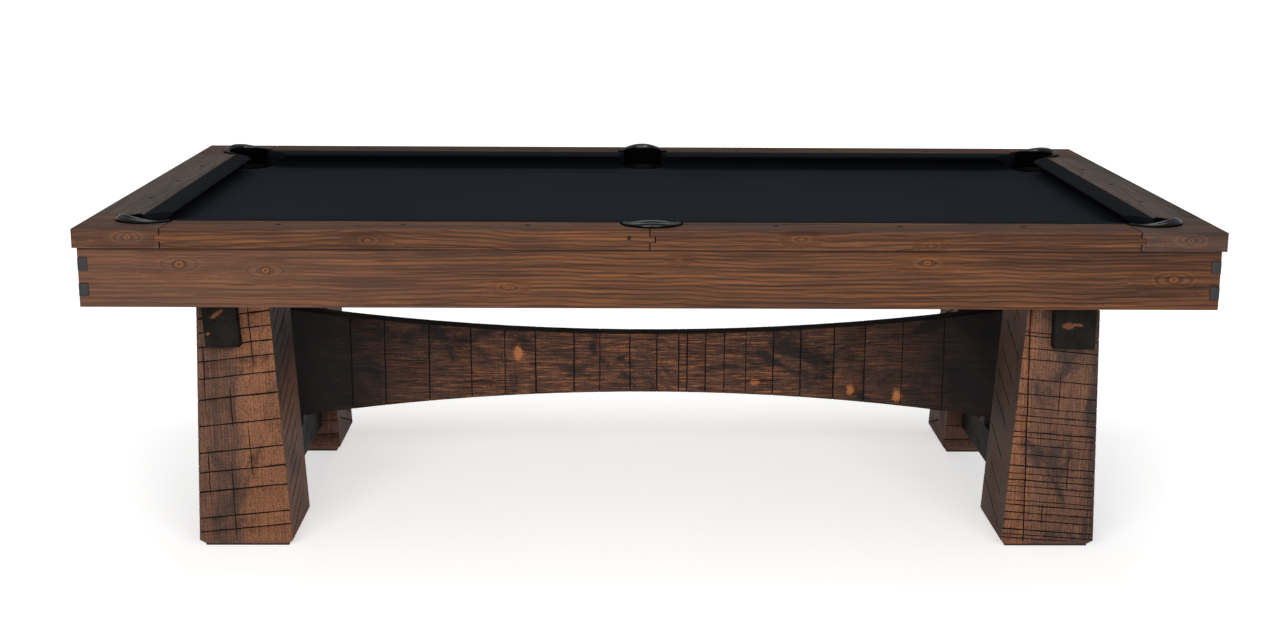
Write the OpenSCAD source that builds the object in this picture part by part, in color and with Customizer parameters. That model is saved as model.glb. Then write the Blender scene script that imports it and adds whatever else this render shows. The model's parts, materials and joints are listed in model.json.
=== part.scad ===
// Slate-bed pool table with drop pockets, a timber cabinet, tapered legs and an arched panel.
// Origin: the centre of the footprint, on the floor. +X runs along the table, +Z is up.
// -Y is the front long side and +Y the rear one; -X is the left end and +X the right one.

/* [Playing field] */
// Length between the end cushions' noses; the width between the side noses is half of it
play_l = 2236; // [2032:4:2540]
// Height of the bed above the floor
bed_h = 770; // [745:1:790]
// Thickness of the bed cloth
cloth_t = 1; // [0.8:0.1:1.4]
// Thickness of the slate
slate_t = 25; // [19:1:30]
// How far the slate reaches past the noses
slate_over = 76; // [70:1:80]
// Thickness of the wood backing under the slate
backing_t = 19; // [15:1:22]

/* [Rails] */
// Width of a rail from its outer edge to the cushion's nose
rail_w = 165; // [160:1:170]
// Height of the rail's top above the bed
rail_t = 43; // [42:0.5:46]
// Width of bare wood on a rail's top
wood_w = 112; // [108:1:115]
// Length of a corner block along the long side
block_x = 195; // [190:1:205]
// Length of a corner block along the end
block_y = 204; // [198:1:210]
// Length of the tongue at a rail joint
tongue_l = 12; // [8:1:16]
// Open joint between neighbouring rails
joint_gap = 2.5; // [0.5:0.1:3]
// Diameter of a sight
sight_d = 14; // [8:0.5:16]

/* [Pockets] */
// Inner radius of a pocket iron
mouth_r = 55; // [52:1:58]
// How far a corner pocket's centre lies outside both nose lines
corner_off = 26; // [22:1:30]
// How far a side pocket's centre lies outside the nose line
side_off = 60; // [56:1:64]
// Thickness of an iron's upright web
iron_web = 4; // [3:0.5:5]
// How far an iron's crown stands above the rail
iron_rise = 17; // [10:1:20]
// Depth of a pocket bucket below the bed
bucket_depth = 118; // [90:1:120]

/* [Cabinet] */
// How far the apron is set in under the rails
apron_in = 8.5; // [5:0.5:12]
// Height of the apron
apron_h = 135; // [130:1:145]
// Thickness of the long apron boards
apron_t = 32; // [28:1:36]
// Thickness of the end apron boards
end_t = 21; // [18:1:25]
// How far the finger ends stand proud of the long boards
finger_proud = 2; // [0:0.5:4]

/* [Legs] */
// Distance of a leg's outer face from the centre, at the floor
leg_outer_floor = 1081.5; // [1070:0.5:1090]
// Distance of a leg's outer face from the centre, at the cabinet
leg_outer_top = 1062; // [1060:0.5:1080]
// Distance of a leg's inner face from the centre, at the floor
leg_inner_floor = 856; // [840:0.5:870]
// Distance of a leg's inner face from the centre, at the cabinet
leg_inner_top = 895.5; // [885:0.5:900]
// Distance of a leg's broad outer side from the centre line
leg_front = 517; // [505:1:530]
// Distance of a leg's side that faces the other leg from the centre line
leg_back = 265; // [255:1:275]
// Bevel round the foot of a leg
leg_bevel = 13; // [8:1:18]
// Thickness of the black pad under a leg
pad_t = 4; // [2:0.5:6]

/* [Beams and panel] */
// Height of the top beams
beam_h = 132; // [125:1:140]
// How far the top beams stand out of the legs
beam_proud = 33; // [20:1:45]
// Sideways lean of the left beam over its height
beam_lean = 10; // [0:1:12]
// Height of the underside of the lower stretchers
stretcher_z = 76; // [70:1:85]
// Height of the lower stretchers
stretcher_h = 92; // [85:1:98]
// Width of the lower stretchers
stretcher_w = 89; // [80:1:95]
// Thickness of the arched panel
panel_t = 57; // [45:1:65]
// Height of the panel's top edge at the middle
panel_top = 415.5; // [400:0.5:425]
// Height of the panel's lower edge at the middle
panel_low = 258; // [250:0.5:270]
// Radius of the panel's hollow top edge
panel_top_r = 6900; // [6700:50:7200]
// Radius of the arch under the panel
panel_arch_r = 6230; // [6100:10:6400]

/* [Levelling feet] */
// Thread diameter of a levelling stem
stem_d = 16; // [12:1:18]
// Radius of a levelling disc
disc_r = 32; // [28:1:34]
// Height of a levelling disc's sole above the floor when it is wound right in
disc_rest = 1; // [0.5:0.1:2]

/* [Hidden] */
$fn = 96;
eps = 0.01;
fit = 0.2;

// The table's outline and its levels
half_l = play_l / 2 + rail_w;
half_w = play_l / 4 + rail_w;
nose_x = play_l / 2;
nose_y = play_l / 4;
rail_top = bed_h + rail_t;
slate_top = bed_h - cloth_t;
slate_low = slate_top - slate_t;
backing_low = slate_low - backing_t;
apron_low = bed_h - apron_h;
slate_x = nose_x + slate_over;
slate_y = nose_y + slate_over;
seam_x = slate_x / 3;
diamond = play_l / 8;

// Pockets
corner_x = nose_x + corner_off;
corner_y = nose_y + corner_off;
side_y = nose_y + side_off;
web_r = mouth_r + iron_web;
crown_r = mouth_r + 15;
corner_iron_half = 107;
side_iron_half = 98;
throat_r = web_r + 0.5;
slate_hole_r = mouth_r + 6;
bucket_r = mouth_r + 2;
bucket_t = 3;
bucket_rim = 4;
bucket_bend_r = 14;
bucket_collar_y = 10;
web_low = 2;

// Cushion ends: nose tips and the slant of the facings
corner_tip = 88;
corner_slant = 68;
side_tip = 68;
side_slant = 13;
cover_t = 1.2;

// Cabinet timbers
apron_x = half_l - apron_in;
apron_y = half_w - apron_in;
inner_x = apron_x - end_t;
inner_y = apron_y - apron_t;
finger_z = [[23, 52], [81, 110]];
beam_w = 60;
beam_y = 530;
beam_reach = 1070;
timber_h = (backing_low - apron_low) / 2;
timber_mid = apron_low + timber_h;
joist_w = 60;
end_joist_w = 150;
end_joist_x = 975;

// Top beams
beam_low = apron_low - beam_h;
beam_end = leg_front + beam_proud;
left_beam_in = 959;
left_beam_w = 79;
right_beam_in = 951;
right_beam_w = 96;

// Lower stretchers and panel
stretcher_x = 908;
tenon_l = 20;
stretcher_top = stretcher_z + stretcher_h;
panel_end = stretcher_x + stretcher_w;
panel_step = 948;
bolt_len = 130;
bolt_r = 6;
bolt_head_r = 10.5;
bolt_head_t = 8;
panel_bolt_x = 978;
foot_bolt_x = 953;
beam_bolt_y = 396;
beam_bolt_z = 550;
leg_bolt_x = 923;
leg_bolt_y = [330, 450];

// Levelling feet
foot_x = (leg_inner_floor + leg_outer_floor) / 2;
foot_y = (leg_front + leg_back) / 2;
recess_r = disc_r + 4;
recess_top = 30;
insert_r = 12;
insert_h = 32;
stem_top = 88;
stem_bore = 112;
disc_t = 9;
neck_r = 6;
collar_r = 9;
collar_t = 2;
hex_d = 27.7;
flange_r = 20;
flange_t = 3;
run_fit = 0.05;

// Colours
pine = "#7a4a2e";
pine_dark = "#5d4234";
sawn = "#6b4027";
charred = "#2c2724";
leather_black = "#1c1e20";
cloth_navy = "#171c22";
slate_grey = "#4a4f55";
steel = "#8d9094";

// ---- Placing ----

// A part drawn for the right front corner, placed at the corner with these signs
module corner(sx, sy) {
    mirror([sx < 0 ? 1 : 0, 0, 0])
        mirror([0, sy > 0 ? 1 : 0, 0])
            children();
}

// The plan outline of something that stands from z0 to z1
module slab(z0, z1) {
    translate([0, 0, z0]) linear_extrude(z1 - z0) children();
}

// A section drawn as [distance in from the rail's outer edge, height above the bed],
// drawn out along X from u0 to u1, with the outer edge at -half
module rail_run(half, u0, u1) {
    translate([u0, -half, bed_h]) rotate([90, 0, 90]) linear_extrude(u1 - u0) children();
}

// ---- Slate bed ----

// A circle at each of the six pockets, seen in plan
module pocket_circles(r) {
    for (sx = [-1, 1], sy = [-1, 1]) translate([sx * corner_x, sy * corner_y]) circle(r);
    for (sy = [-1, 1]) translate([0, sy * side_y]) circle(r);
}

// The pocket holes of a board, which leave no thin tips outside the corner pockets
module pocket_holes(r) {
    outside = 100;
    pocket_circles(r);
    for (sx = [-1, 1], sy = [-1, 1]) {
        translate([sx * (corner_x + outside / 2), sy * (corner_y + outside / 2)])
            square(outside, center = true);
    }
}

// Where the rail bolts pass through the bed, seen in plan
rail_bolt_y = half_w - wood_w + 3;
rail_bolt_x = half_l - wood_w + 3;
rail_bolt_places = [
    for (sy = [-1, 1], x = [250, 560, 870], sx = [-1, 1]) [sx * x, sy * rail_bolt_y],
    for (sx = [-1, 1], y = [-300, 0, 300]) [sx * rail_bolt_x, y]
];
rail_bolt_r = 5;
rail_bolt_grip = 28;

// Where the slate is screwed down to the frame beams
slate_screw_places = [
    for (sy = [-1, 1], sx = [-1, 1], x = [110, 330, 460, 760, 1040]) [sx * x, sy * beam_y]
];
slate_screw_r = 4;
slate_screw_head = 8;
slate_sink = 5;
slate_screw_grip = 25;

module bed_drillings(r_bolt, r_screw) {
    for (p = rail_bolt_places) translate(p) circle(r_bolt, $fn = 32);
    for (p = slate_screw_places) translate(p) circle(r_screw, $fn = 32);
}

module slate(x0, x1) {
    color(slate_grey)
    difference() {
        slab(slate_low, slate_top) difference() {
            translate([x0, -slate_y]) square([x1 - x0, 2 * slate_y]);
            pocket_holes(slate_hole_r);
            bed_drillings(rail_bolt_r + fit, slate_screw_r + fit);
        }
        for (p = slate_screw_places) {
            translate([p[0], p[1], slate_top - slate_sink])
                cylinder(
                    h = slate_sink + eps, r1 = slate_screw_r + fit, r2 = slate_screw_head + fit, $fn = 32
                );
        }
    }
}

// A flat rectangle between two opposite corners
module strip_plan(x0, x1, y0, y1) {
    translate([(x0 + x1) / 2, (y0 + y1) / 2])
        square([abs(x1 - x0), abs(y1 - y0)], center = true);
}

// Straight strips glued under the edges and the seams of each slate, clear of the pockets
module slate_backing() {
    edge_strip = 135;
    seam_strip = 30;
    end_strip = 120;
    gap = 1;
    clear = slate_hole_r + 2;
    inner_y = slate_y - edge_strip;
    color(pine_dark)
    slab(backing_low, slate_low) difference() {
        union() {
            for (sx = [-1, 1], sy = [-1, 1]) {
                strip_plan(sx * clear, sx * (seam_x - gap / 2), sy * inner_y, sy * slate_y);
                strip_plan(
                    sx * (seam_x + gap / 2), sx * (corner_x - clear), sy * inner_y, sy * slate_y
                );
            }
            for (sx = [-1, 1], side = [-1, 1]) {
                edge = seam_x + side * gap / 2;
                strip_plan(sx * edge, sx * (edge + side * seam_strip), gap - inner_y, inner_y - gap);
            }
            for (sx = [-1, 1]) {
                strip_plan(sx * (slate_x - end_strip), sx * slate_x, gap - inner_y, inner_y - gap);
            }
        }
        bed_drillings(rail_bolt_r + fit, slate_screw_r + fit);
    }
}

module bed_cloth() {
    color(cloth_navy)
    slab(slate_top, bed_h) difference() {
        square([2 * slate_x, 2 * slate_y], center = true);
        pocket_holes(slate_hole_r);
        for (p = rail_bolt_places) translate(p) circle(rail_bolt_r + fit, $fn = 32);
    }
}

// ---- Cushions ----

// Outer face of the cushion cover, from the feather strip over the nose and back underneath
cover_outside = [
    [wood_w + 0.5, 43], [rail_w - 15, 42.2], [rail_w - 5, 40.6], [rail_w - 0.8, 38.4],
    [rail_w, 36.5], [rail_w - 1.4, 34.6], [rail_w - 15, 25], [rail_w - 27, 14.5],
    [rail_w - 32, 6], [rail_w - 33, 0.5]
];
// Inner face of the cover
cover_inside = [
    [wood_w + 0.5, 41.8], [rail_w - 15, 41], [rail_w - 5.4, 39.5], [rail_w - 1.9, 37.7],
    [rail_w - 1.2, 36.5], [rail_w - 2.3, 35.4], [rail_w - 15.8, 25.9], [rail_w - 27.9, 15.3],
    [rail_w - 33.1, 6.4], [rail_w - 34.2, 0.5]
];
// The wooden sub-rail's face that carries the rubber
sub_top = [rail_w - 31, 41.3];
sub_low = [rail_w - 36, 0.5];

// Plan outline of a cushion between two facings, each end given as its tip and its slant
module cushion_plan(half, u0, slant0, u1, slant1, inset = 0) {
    translate([0, -half]) polygon([
        [u0 - slant0 + inset, wood_w], [u1 + slant1 - inset, wood_w],
        [u1 - inset, rail_w + 1], [u0 + inset, rail_w + 1]
    ]);
}

// A section drawn along a cushion and cut to its facings
module cushion_run(half, u0, slant0, u1, slant1, inset = 0) {
    intersection() {
        rail_run(half, u0 - slant0, u1 + slant1) children();
        slab(bed_h, rail_top) cushion_plan(half, u0, slant0, u1, slant1, inset);
    }
}

module cover(half, u0, slant0, u1, slant1) {
    color(cloth_navy)
    difference() {
        cushion_run(half, u0, slant0, u1, slant1)
            polygon(concat(cover_outside, [[sub_low[0], 0.5], [wood_w + 0.5, 41]]));
        cushion_run(half, u0, slant0, u1, slant1, cover_t)
            polygon(concat([[wood_w - 1, 41.8]], cover_inside, [[sub_low[0], -1], [wood_w - 1, -1]]));
        cushion_run(half, u0, slant0, u1, slant1, -eps)
            polygon([[wood_w - 1, 41.8], sub_top, sub_low, [sub_low[0], -1], [wood_w - 1, -1]]);
    }
}

module rubber(half, u0, slant0, u1, slant1) {
    color(charred)
    cushion_run(half, u0, slant0, u1, slant1, cover_t)
        polygon(concat([sub_top], [for (i = [1 : 9]) cover_inside[i]], [sub_low]));
}

module cushion_side(sx, sy) {
    corner(sx, sy) cover(half_w, side_tip, side_slant, nose_x - corner_tip, corner_slant);
}

module cushion_end(sx) {
    tip = nose_y - corner_tip;
    rotate([0, 0, sx * 90]) cover(half_l, -tip, corner_slant, tip, corner_slant);
}

module cushion_rubbers() {
    tip = nose_y - corner_tip;
    for (sx = [-1, 1], sy = [-1, 1]) {
        corner(sx, sy) rubber(half_w, side_tip, side_slant, nose_x - corner_tip, corner_slant);
    }
    for (sx = [-1, 1]) {
        rotate([0, 0, sx * 90]) rubber(half_l, -tip, corner_slant, tip, corner_slant);
    }
}

// ---- Rails and corner blocks ----

joint_x = half_l - block_x;
joint_y = half_w - block_y;
side_joint_x = 6;
tongue_z = 16;
tongue_t = 14;
sight_in = 69.5;
sight_depth = 2;

// A tongue or, grown by the fit, the groove that takes it
module tongue(half, u0, u1, grow = 0) {
    translate([u0, -half - grow, bed_h + tongue_z - grow])
        cube([u1 - u0, wood_w + 2 * grow, tongue_t + 2 * grow]);
}

// The wooden sub-rail under the cushion's cover
module sub_rail(half, u0, slant0, u1, slant1) {
    cushion_run(half, u0, slant0, u1, slant1, cover_t)
        polygon([
            [wood_w - 1, 0], [wood_w - 1, 41.8], [wood_w + 0.5, 41.8],
            sub_top, sub_low, [sub_low[0], 0]
        ]);
}

module throat_cuts() {
    slab(bed_h - 1, rail_top + 1) pocket_circles(throat_r);
}

module rail_bolt_holes() {
    for (p = rail_bolt_places) {
        translate([p[0], p[1], bed_h - 1])
            cylinder(h = rail_bolt_grip + 3, r = rail_bolt_r + fit, $fn = 32);
    }
}

// Sights as [distance along the rail, outer edge]; drawn for the front side
module side_sights(grow = 0) {
    for (sx = [-1, 1], i = [1 : 3]) {
        translate([sx * i * diamond, -half_w + sight_in, rail_top - sight_depth])
            cylinder(h = sight_depth + grow, d = sight_d, $fn = 48);
    }
}

module end_sights(grow = 0) {
    for (i = [-1 : 1]) {
        translate([i * diamond, -half_l + sight_in, rail_top - sight_depth])
            cylinder(h = sight_depth + grow, d = sight_d, $fn = 48);
    }
}

// A long rail of the front side, drawn to the right of the middle.
// The one with the tongue reaches into its neighbour, which has the groove.
module long_rail(has_tongue) {
    start = has_tongue ? side_joint_x + joint_gap / 2 : -side_joint_x + joint_gap / 2;
    difference() {
        union() {
            translate([start, -half_w, bed_h]) cube([joint_x - start, wood_w, rail_t]);
            sub_rail(half_w, side_tip, side_slant, nose_x - corner_tip, corner_slant);
            tongue(half_w, joint_x - eps, joint_x + tongue_l);
            if (has_tongue) tongue(half_w, start - tongue_l, start + eps);
        }
        if (!has_tongue) tongue(half_w, start - eps, start + tongue_l, fit);
        throat_cuts();
        rail_bolt_holes();
        side_sights(1);
    }
}

module rail_front_left() {
    color(pine) mirror([1, 0, 0]) long_rail(true);
}

module rail_front_right() {
    color(pine) long_rail(false);
}

module rail_rear_left() {
    color(pine) rotate([0, 0, 180]) long_rail(false);
}

module rail_rear_right() {
    color(pine) rotate([0, 0, 180]) mirror([1, 0, 0]) long_rail(true);
}

module rail_end(sx) {
    tip = nose_y - corner_tip;
    color(pine_dark)
    difference() {
        rotate([0, 0, sx * 90]) difference() {
            union() {
                translate([-joint_y, -half_l, bed_h]) cube([2 * joint_y, wood_w, rail_t]);
                sub_rail(half_l, -tip, corner_slant, tip, corner_slant);
                tongue(half_l, -joint_y - tongue_l, joint_y + tongue_l);
            }
            end_sights(1);
        }
        throat_cuts();
        rail_bolt_holes();
    }
}

module corner_block(sx, sy) {
    color(pine)
    corner(sx, sy)
    difference() {
        translate([joint_x + joint_gap, -half_w, bed_h])
            cube([block_x - joint_gap, block_y - joint_gap, rail_t]);
        translate([joint_x, -half_w + wood_w, bed_h - 1])
            cube([block_x - wood_w, block_y, rail_t + 2]);
        tongue(half_w, joint_x, joint_x + tongue_l + 0.5, fit);
        rotate([0, 0, 90]) tongue(half_l, -joint_y - tongue_l - 0.5, -joint_y, fit);
        throat_cuts();
    }
}

module sights() {
    color(leather_black) {
        side_sights();
        mirror([0, 1, 0]) side_sights();
        for (sx = [-1, 1]) rotate([0, 0, sx * 90]) end_sights();
    }
}

// ---- Pockets ----

// Section of an iron: an upright web under a rounded crown that lies on the rail
iron_section = [
    [mouth_r, web_low], [web_r, web_low], [web_r, rail_t], [crown_r, rail_t],
    [crown_r + 0.8, rail_t + 3], [crown_r - 0.4, rail_t + 7], [crown_r - 3.5, rail_t + iron_rise - 5],
    [crown_r - 7, rail_t + iron_rise - 1.5], [crown_r - 10, rail_t + iron_rise],
    [mouth_r + 2, rail_t + iron_rise - 2], [mouth_r, rail_t + iron_rise - 6]
];

// Drawn round its own axis, open towards +Y
module iron(half_angle) {
    rotate([0, 0, -90 - half_angle])
        translate([0, 0, bed_h]) rotate_extrude(angle = 2 * half_angle) polygon(iron_section);
}

module pocket_iron_corner(sx, sy) {
    color(leather_black) corner(sx, sy)
        translate([corner_x, -corner_y, 0]) rotate([0, 0, 45]) iron(corner_iron_half);
}

module pocket_iron_side(sy) {
    color(leather_black) corner(1, sy) translate([0, -side_y, 0]) iron(side_iron_half);
}

// Quarter circle of radius r in a bucket's section, from the floor up to the wall
function bucket_bend(r) = [
    for (a = [0 : 15 : 90])
        [bucket_r - bucket_bend_r + r * sin(a), bed_h - bucket_depth + bucket_bend_r - r * cos(a)]
];

// A leather cup, open towards +Y above the bed, whose collar hangs from the iron's web
module bucket() {
    floor_z = bed_h - bucket_depth;
    top_z = bed_h + web_low;
    inside = bucket_bend(bucket_bend_r - bucket_t);
    difference() {
        rotate_extrude() polygon(concat(
            [[0, floor_z]], bucket_bend(bucket_bend_r),
            [[bucket_r, top_z], [bucket_r - bucket_t, top_z]],
            [for (i = [len(inside) - 1 : -1 : 0]) inside[i]], [[0, floor_z + bucket_t]]
        ));
        translate([-bucket_r - 1, -bucket_collar_y, bed_h - bucket_rim])
            cube([2 * bucket_r + 2, 2 * bucket_r, bucket_rim + web_low + 1]);
    }
}

module pocket_buckets() {
    color(leather_black) {
        for (sx = [-1, 1], sy = [-1, 1]) {
            corner(sx, sy) translate([corner_x, -corner_y, 0]) rotate([0, 0, 45]) bucket();
        }
        for (sy = [-1, 1]) corner(1, sy) translate([0, -side_y, 0]) bucket();
    }
}

// ---- Cabinet ----

module fingers(grow = 0) {
    for (f = finger_z) {
        translate([inner_x - grow, -apron_y - finger_proud - grow, bed_h - f[1] - grow])
            cube([end_t + 2 * grow, apron_t + finger_proud + grow + fit, f[1] - f[0] + 2 * grow]);
    }
}

module apron_long(sy) {
    color(pine)
    corner(1, sy)
    difference() {
        translate([-apron_x, -apron_y, apron_low]) cube([2 * apron_x, apron_t, apron_h]);
        for (sx = [-1, 1]) corner(sx, -1) fingers(fit / 2);
    }
}

module apron_end(sx) {
    color(pine_dark)
    corner(sx, -1) {
        translate([inner_x, -inner_y + fit / 2, apron_low]) cube([end_t, 2 * inner_y - fit, apron_h]);
        corner(1, -1) fingers();
        corner(1, 1) fingers();
    }
}

// Steel angles screwed into the inside corners of the apron
module corner_brackets() {
    arm = 38;
    plate = 3;
    high = 80;
    head_in = 10;
    color(steel)
    for (sx = [-1, 1], sy = [-1, 1]) {
        corner(sx, sy) translate([inner_x, -inner_y, apron_low + 25]) {
            translate([-arm, fit, 0]) cube([arm - fit, plate, high]);
            translate([-plate - fit, fit, 0]) cube([plate, arm, high]);
            for (z = [18, high - 18]) {
                translate([-arm + head_in, plate + fit - eps, z]) rotate([-90, 0, 0])
                    cylinder(h = 3, r1 = 5, r2 = 3, $fn = 32);
                translate([-plate - fit + eps, arm - head_in, z]) rotate([0, -90, 0])
                    cylinder(h = 3, r1 = 5, r2 = 3, $fn = 32);
            }
        }
    }
}

module frame_beams() {
    color(pine_dark)
    for (sy = [-1, 1]) {
        difference() {
            translate([-beam_reach, sy * beam_y - beam_w / 2, timber_mid])
                cube([2 * beam_reach, beam_w, backing_low - timber_mid]);
            for (p = slate_screw_places) {
                translate([p[0], p[1], backing_low - slate_screw_grip - 5])
                    cylinder(h = slate_screw_grip + 6, r = slate_screw_r + fit / 2, $fn = 32);
            }
        }
    }
}

module frame_joists() {
    color(pine_dark)
    difference() {
        union() {
            for (sx = [-1, 1]) {
                translate([sx * seam_x - joist_w / 2, -inner_y, apron_low])
                    cube([joist_w, 2 * inner_y, timber_h]);
                translate([sx * end_joist_x - end_joist_w / 2, -inner_y, apron_low])
                    cube([end_joist_w, 2 * inner_y, timber_h]);
            }
        }
        bolt_holes();
    }
}

// ---- Top beams, legs, stretchers and panel ----

// Section of the beam at one end of the table, drawn for positive X
module beam_section(left, grow = 0) {
    x0 = left ? left_beam_in : right_beam_in;
    w = left ? left_beam_w : right_beam_w;
    lean = left ? beam_lean : 0;
    polygon([
        [x0 - grow, beam_low - grow], [x0 + w + grow, beam_low - grow],
        [x0 + w + lean + grow, apron_low + grow], [x0 + lean - grow, apron_low + grow]
    ]);
}

module top_beam(sx) {
    color(charred)
    difference() {
        corner(sx, -1) translate([0, beam_end, 0]) rotate([90, 0, 0])
            linear_extrude(2 * beam_end) beam_section(sx < 0);
        bolt_holes();
    }
}

// Distance of a leg's face from the centre at a height
function leg_outer(z) = leg_outer_floor + (leg_outer_top - leg_outer_floor) * z / apron_low;
function leg_inner(z) = leg_inner_floor + (leg_inner_top - leg_inner_floor) * z / apron_low;

// A wedge that bevels the foot's edge at this Y; turn points from the edge into the leg
module foot_bevel(y, turn) {
    translate([leg_inner_floor - 1, y, pad_t]) rotate([90, 0, 90])
        linear_extrude(leg_outer_floor - leg_inner_floor + 2)
            polygon([[-turn, leg_bevel + 1], [-turn, -1], [turn * (leg_bevel + 1), -1]]);
}

module leg(sx, sy) {
    side = leg_bevel + pad_t;
    color(sawn)
    difference() {
        corner(sx, sy) difference() {
            translate([0, -leg_back, 0]) rotate([90, 0, 0]) linear_extrude(leg_front - leg_back)
                polygon([
                    [leg_inner_floor + leg_bevel, pad_t], [leg_outer_floor - leg_bevel, pad_t],
                    [leg_outer(side), side], [leg_outer_top, apron_low],
                    [leg_inner_top, apron_low], [leg_inner(side), side]
                ]);
            // bevels along the foot's other two edges
            foot_bevel(-leg_front, 1);
            foot_bevel(-leg_back, -1);
            // notch for the top beam
            translate([0, beam_end, 0]) rotate([90, 0, 0])
                linear_extrude(2 * beam_end) beam_section(sx < 0, fit);
            // mortise for the stretcher's tenon
            stretcher_blank(fit);
            // recess, insert seat and bore of the levelling foot
            translate([foot_x, -foot_y, 0]) {
                cylinder(h = recess_top, r = recess_r);
                cylinder(h = recess_top + insert_h, r = insert_r + fit / 2);
                cylinder(h = stem_bore, r = stem_d / 2 + 1);
            }
        }
        bolt_holes();
    }
}

module leg_pads() {
    pad_x = leg_outer_floor - leg_inner_floor - 2 * leg_bevel;
    pad_y = leg_front - leg_back - 2 * leg_bevel;
    color("#101010")
    for (sx = [-1, 1], sy = [-1, 1]) {
        corner(sx, sy) difference() {
            translate([leg_inner_floor + leg_bevel, -leg_front + leg_bevel, 0])
                cube([pad_x, pad_y, pad_t]);
            translate([foot_x, -foot_y, -1]) cylinder(h = pad_t + 2, r = recess_r);
        }
    }
}

module stretcher_blank(grow = 0) {
    reach = leg_back + tenon_l + grow;
    translate([stretcher_x - grow, -reach, stretcher_z - grow])
        cube([stretcher_w + 2 * grow, 2 * reach, stretcher_h + 2 * grow]);
}

module stretcher(sx) {
    color(charred)
    difference() {
        corner(sx, -1) stretcher_blank();
        bolt_holes();
    }
}

// A cylinder across the panel, which cuts one of its curved edges
module panel_curve(z, r) {
    translate([0, 0, z]) rotate([90, 0, 0])
        cylinder(h = 2 * panel_t, r = r, center = true, $fn = 1440);
}

module arch_panel() {
    color(sawn)
    difference() {
        translate([-panel_end, -panel_t / 2, stretcher_top])
            cube([2 * panel_end, panel_t, beam_low - stretcher_top]);
        intersection() {
            panel_curve(panel_top + panel_top_r, panel_top_r);
            translate([-panel_step, -panel_t, panel_top - 5])
                cube([2 * panel_step, 2 * panel_t, 200]);
        }
        intersection() {
            panel_curve(panel_low - panel_arch_r, panel_arch_r);
            translate([-stretcher_x + 1, -panel_t, stretcher_top - 5])
                cube([2 * stretcher_x - 2, 2 * panel_t, 200]);
        }
        bolt_holes();
    }
}

// ---- Levelling feet ----

// Threaded stem: the neck and the collar turn inside the disc
module leveller_stem(sx, sy) {
    collar_z = disc_rest + 2.4;
    hex_z = disc_rest + disc_t + 0.2;
    hex_h = 8;
    color(steel)
    corner(sx, sy) translate([foot_x, -foot_y, 0]) {
        translate([0, 0, collar_z]) cylinder(h = collar_t, r = collar_r, $fn = 64);
        translate([0, 0, collar_z]) cylinder(h = hex_z - collar_z + eps, r = neck_r, $fn = 64);
        translate([0, 0, hex_z]) cylinder(h = hex_h, d = hex_d, $fn = 6);
        translate([0, 0, hex_z]) cylinder(h = stem_top - hex_z, d = stem_d, $fn = 64);
    }
}

module leveller_disc(sx, sy) {
    color("#202020")
    corner(sx, sy) translate([foot_x, -foot_y, disc_rest])
    difference() {
        cylinder(h = disc_t, r = disc_r);
        translate([0, 0, 2]) cylinder(h = collar_t + 0.8, r = collar_r + 0.4, $fn = 64);
        translate([0, 0, 4]) cylinder(h = disc_t, r = neck_r + run_fit, $fn = 64);
    }
}

module leveller_inserts() {
    color(steel)
    for (sx = [-1, 1], sy = [-1, 1]) {
        corner(sx, sy) translate([foot_x, -foot_y, recess_top - flange_t])
        difference() {
            union() {
                cylinder(h = flange_t, r = flange_r);
                cylinder(h = insert_h + flange_t, r = insert_r);
            }
            translate([0, 0, -1]) cylinder(h = insert_h + 5, r = stem_d / 2 + run_fit, $fn = 64);
        }
    }
}

// ---- Fasteners ----

module slate_screws() {
    shaft = slate_t + backing_t + slate_screw_grip - slate_sink;
    color(steel)
    for (p = slate_screw_places) {
        translate([p[0], p[1], slate_top - slate_sink]) {
            translate([0, 0, -shaft]) cylinder(h = shaft + eps, r = slate_screw_r, $fn = 32);
            cylinder(h = slate_sink, r1 = slate_screw_r, r2 = slate_screw_head, $fn = 32);
        }
    }
}

// Hex head and washer under the backing, shaft up into the rail
module rail_bolts() {
    washer_t = 2;
    head_t = 6.4;
    shaft = bed_h + rail_bolt_grip - backing_low;
    color(steel)
    for (p = rail_bolt_places) {
        translate([p[0], p[1], backing_low]) {
            translate([0, 0, -washer_t]) cylinder(h = washer_t, r = 12, $fn = 48);
            translate([0, 0, -washer_t - head_t]) cylinder(h = head_t + eps, r = 9.8, $fn = 6);
            translate([0, 0, -eps]) cylinder(h = shaft + eps, r = rail_bolt_r, $fn = 32);
        }
    }
}

// Each place is the underside of the head, then the turn that points the shaft
frame_bolt_places = concat(
    [for (sx = [-1, 1], sy = [-1, 1], y = leg_bolt_y) [[sx * leg_bolt_x, sy * y, timber_mid], [180, 0, 0]]],
    [for (sx = [-1, 1], sy = [-1, 1])
        [[sx * (leg_inner(beam_bolt_z) + 14), sy * beam_bolt_y, beam_bolt_z], [0, sx * 90, 0]]],
    [for (sx = [-1, 1]) [[sx * panel_bolt_x, 0, apron_low - 40], [180, 0, 0]]],
    [for (sx = [-1, 1]) [[sx * foot_bolt_x, 0, stretcher_z + 10], [0, 0, 0]]]
);

module bolt_shape(grow = 0, room = 0) {
    translate([0, 0, -bolt_head_t - room])
        cylinder(h = bolt_head_t + room, r = bolt_head_r + grow, $fn = room > 0 ? 32 : 6);
    translate([0, 0, -eps]) cylinder(h = bolt_len + grow, r = bolt_r + grow, $fn = 32);
}

module frame_bolts() {
    color(charred)
    for (b = frame_bolt_places) translate(b[0]) rotate(b[1]) bolt_shape();
}

module bolt_holes() {
    for (b = frame_bolt_places) translate(b[0]) rotate(b[1]) bolt_shape(fit, 60);
}

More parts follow.
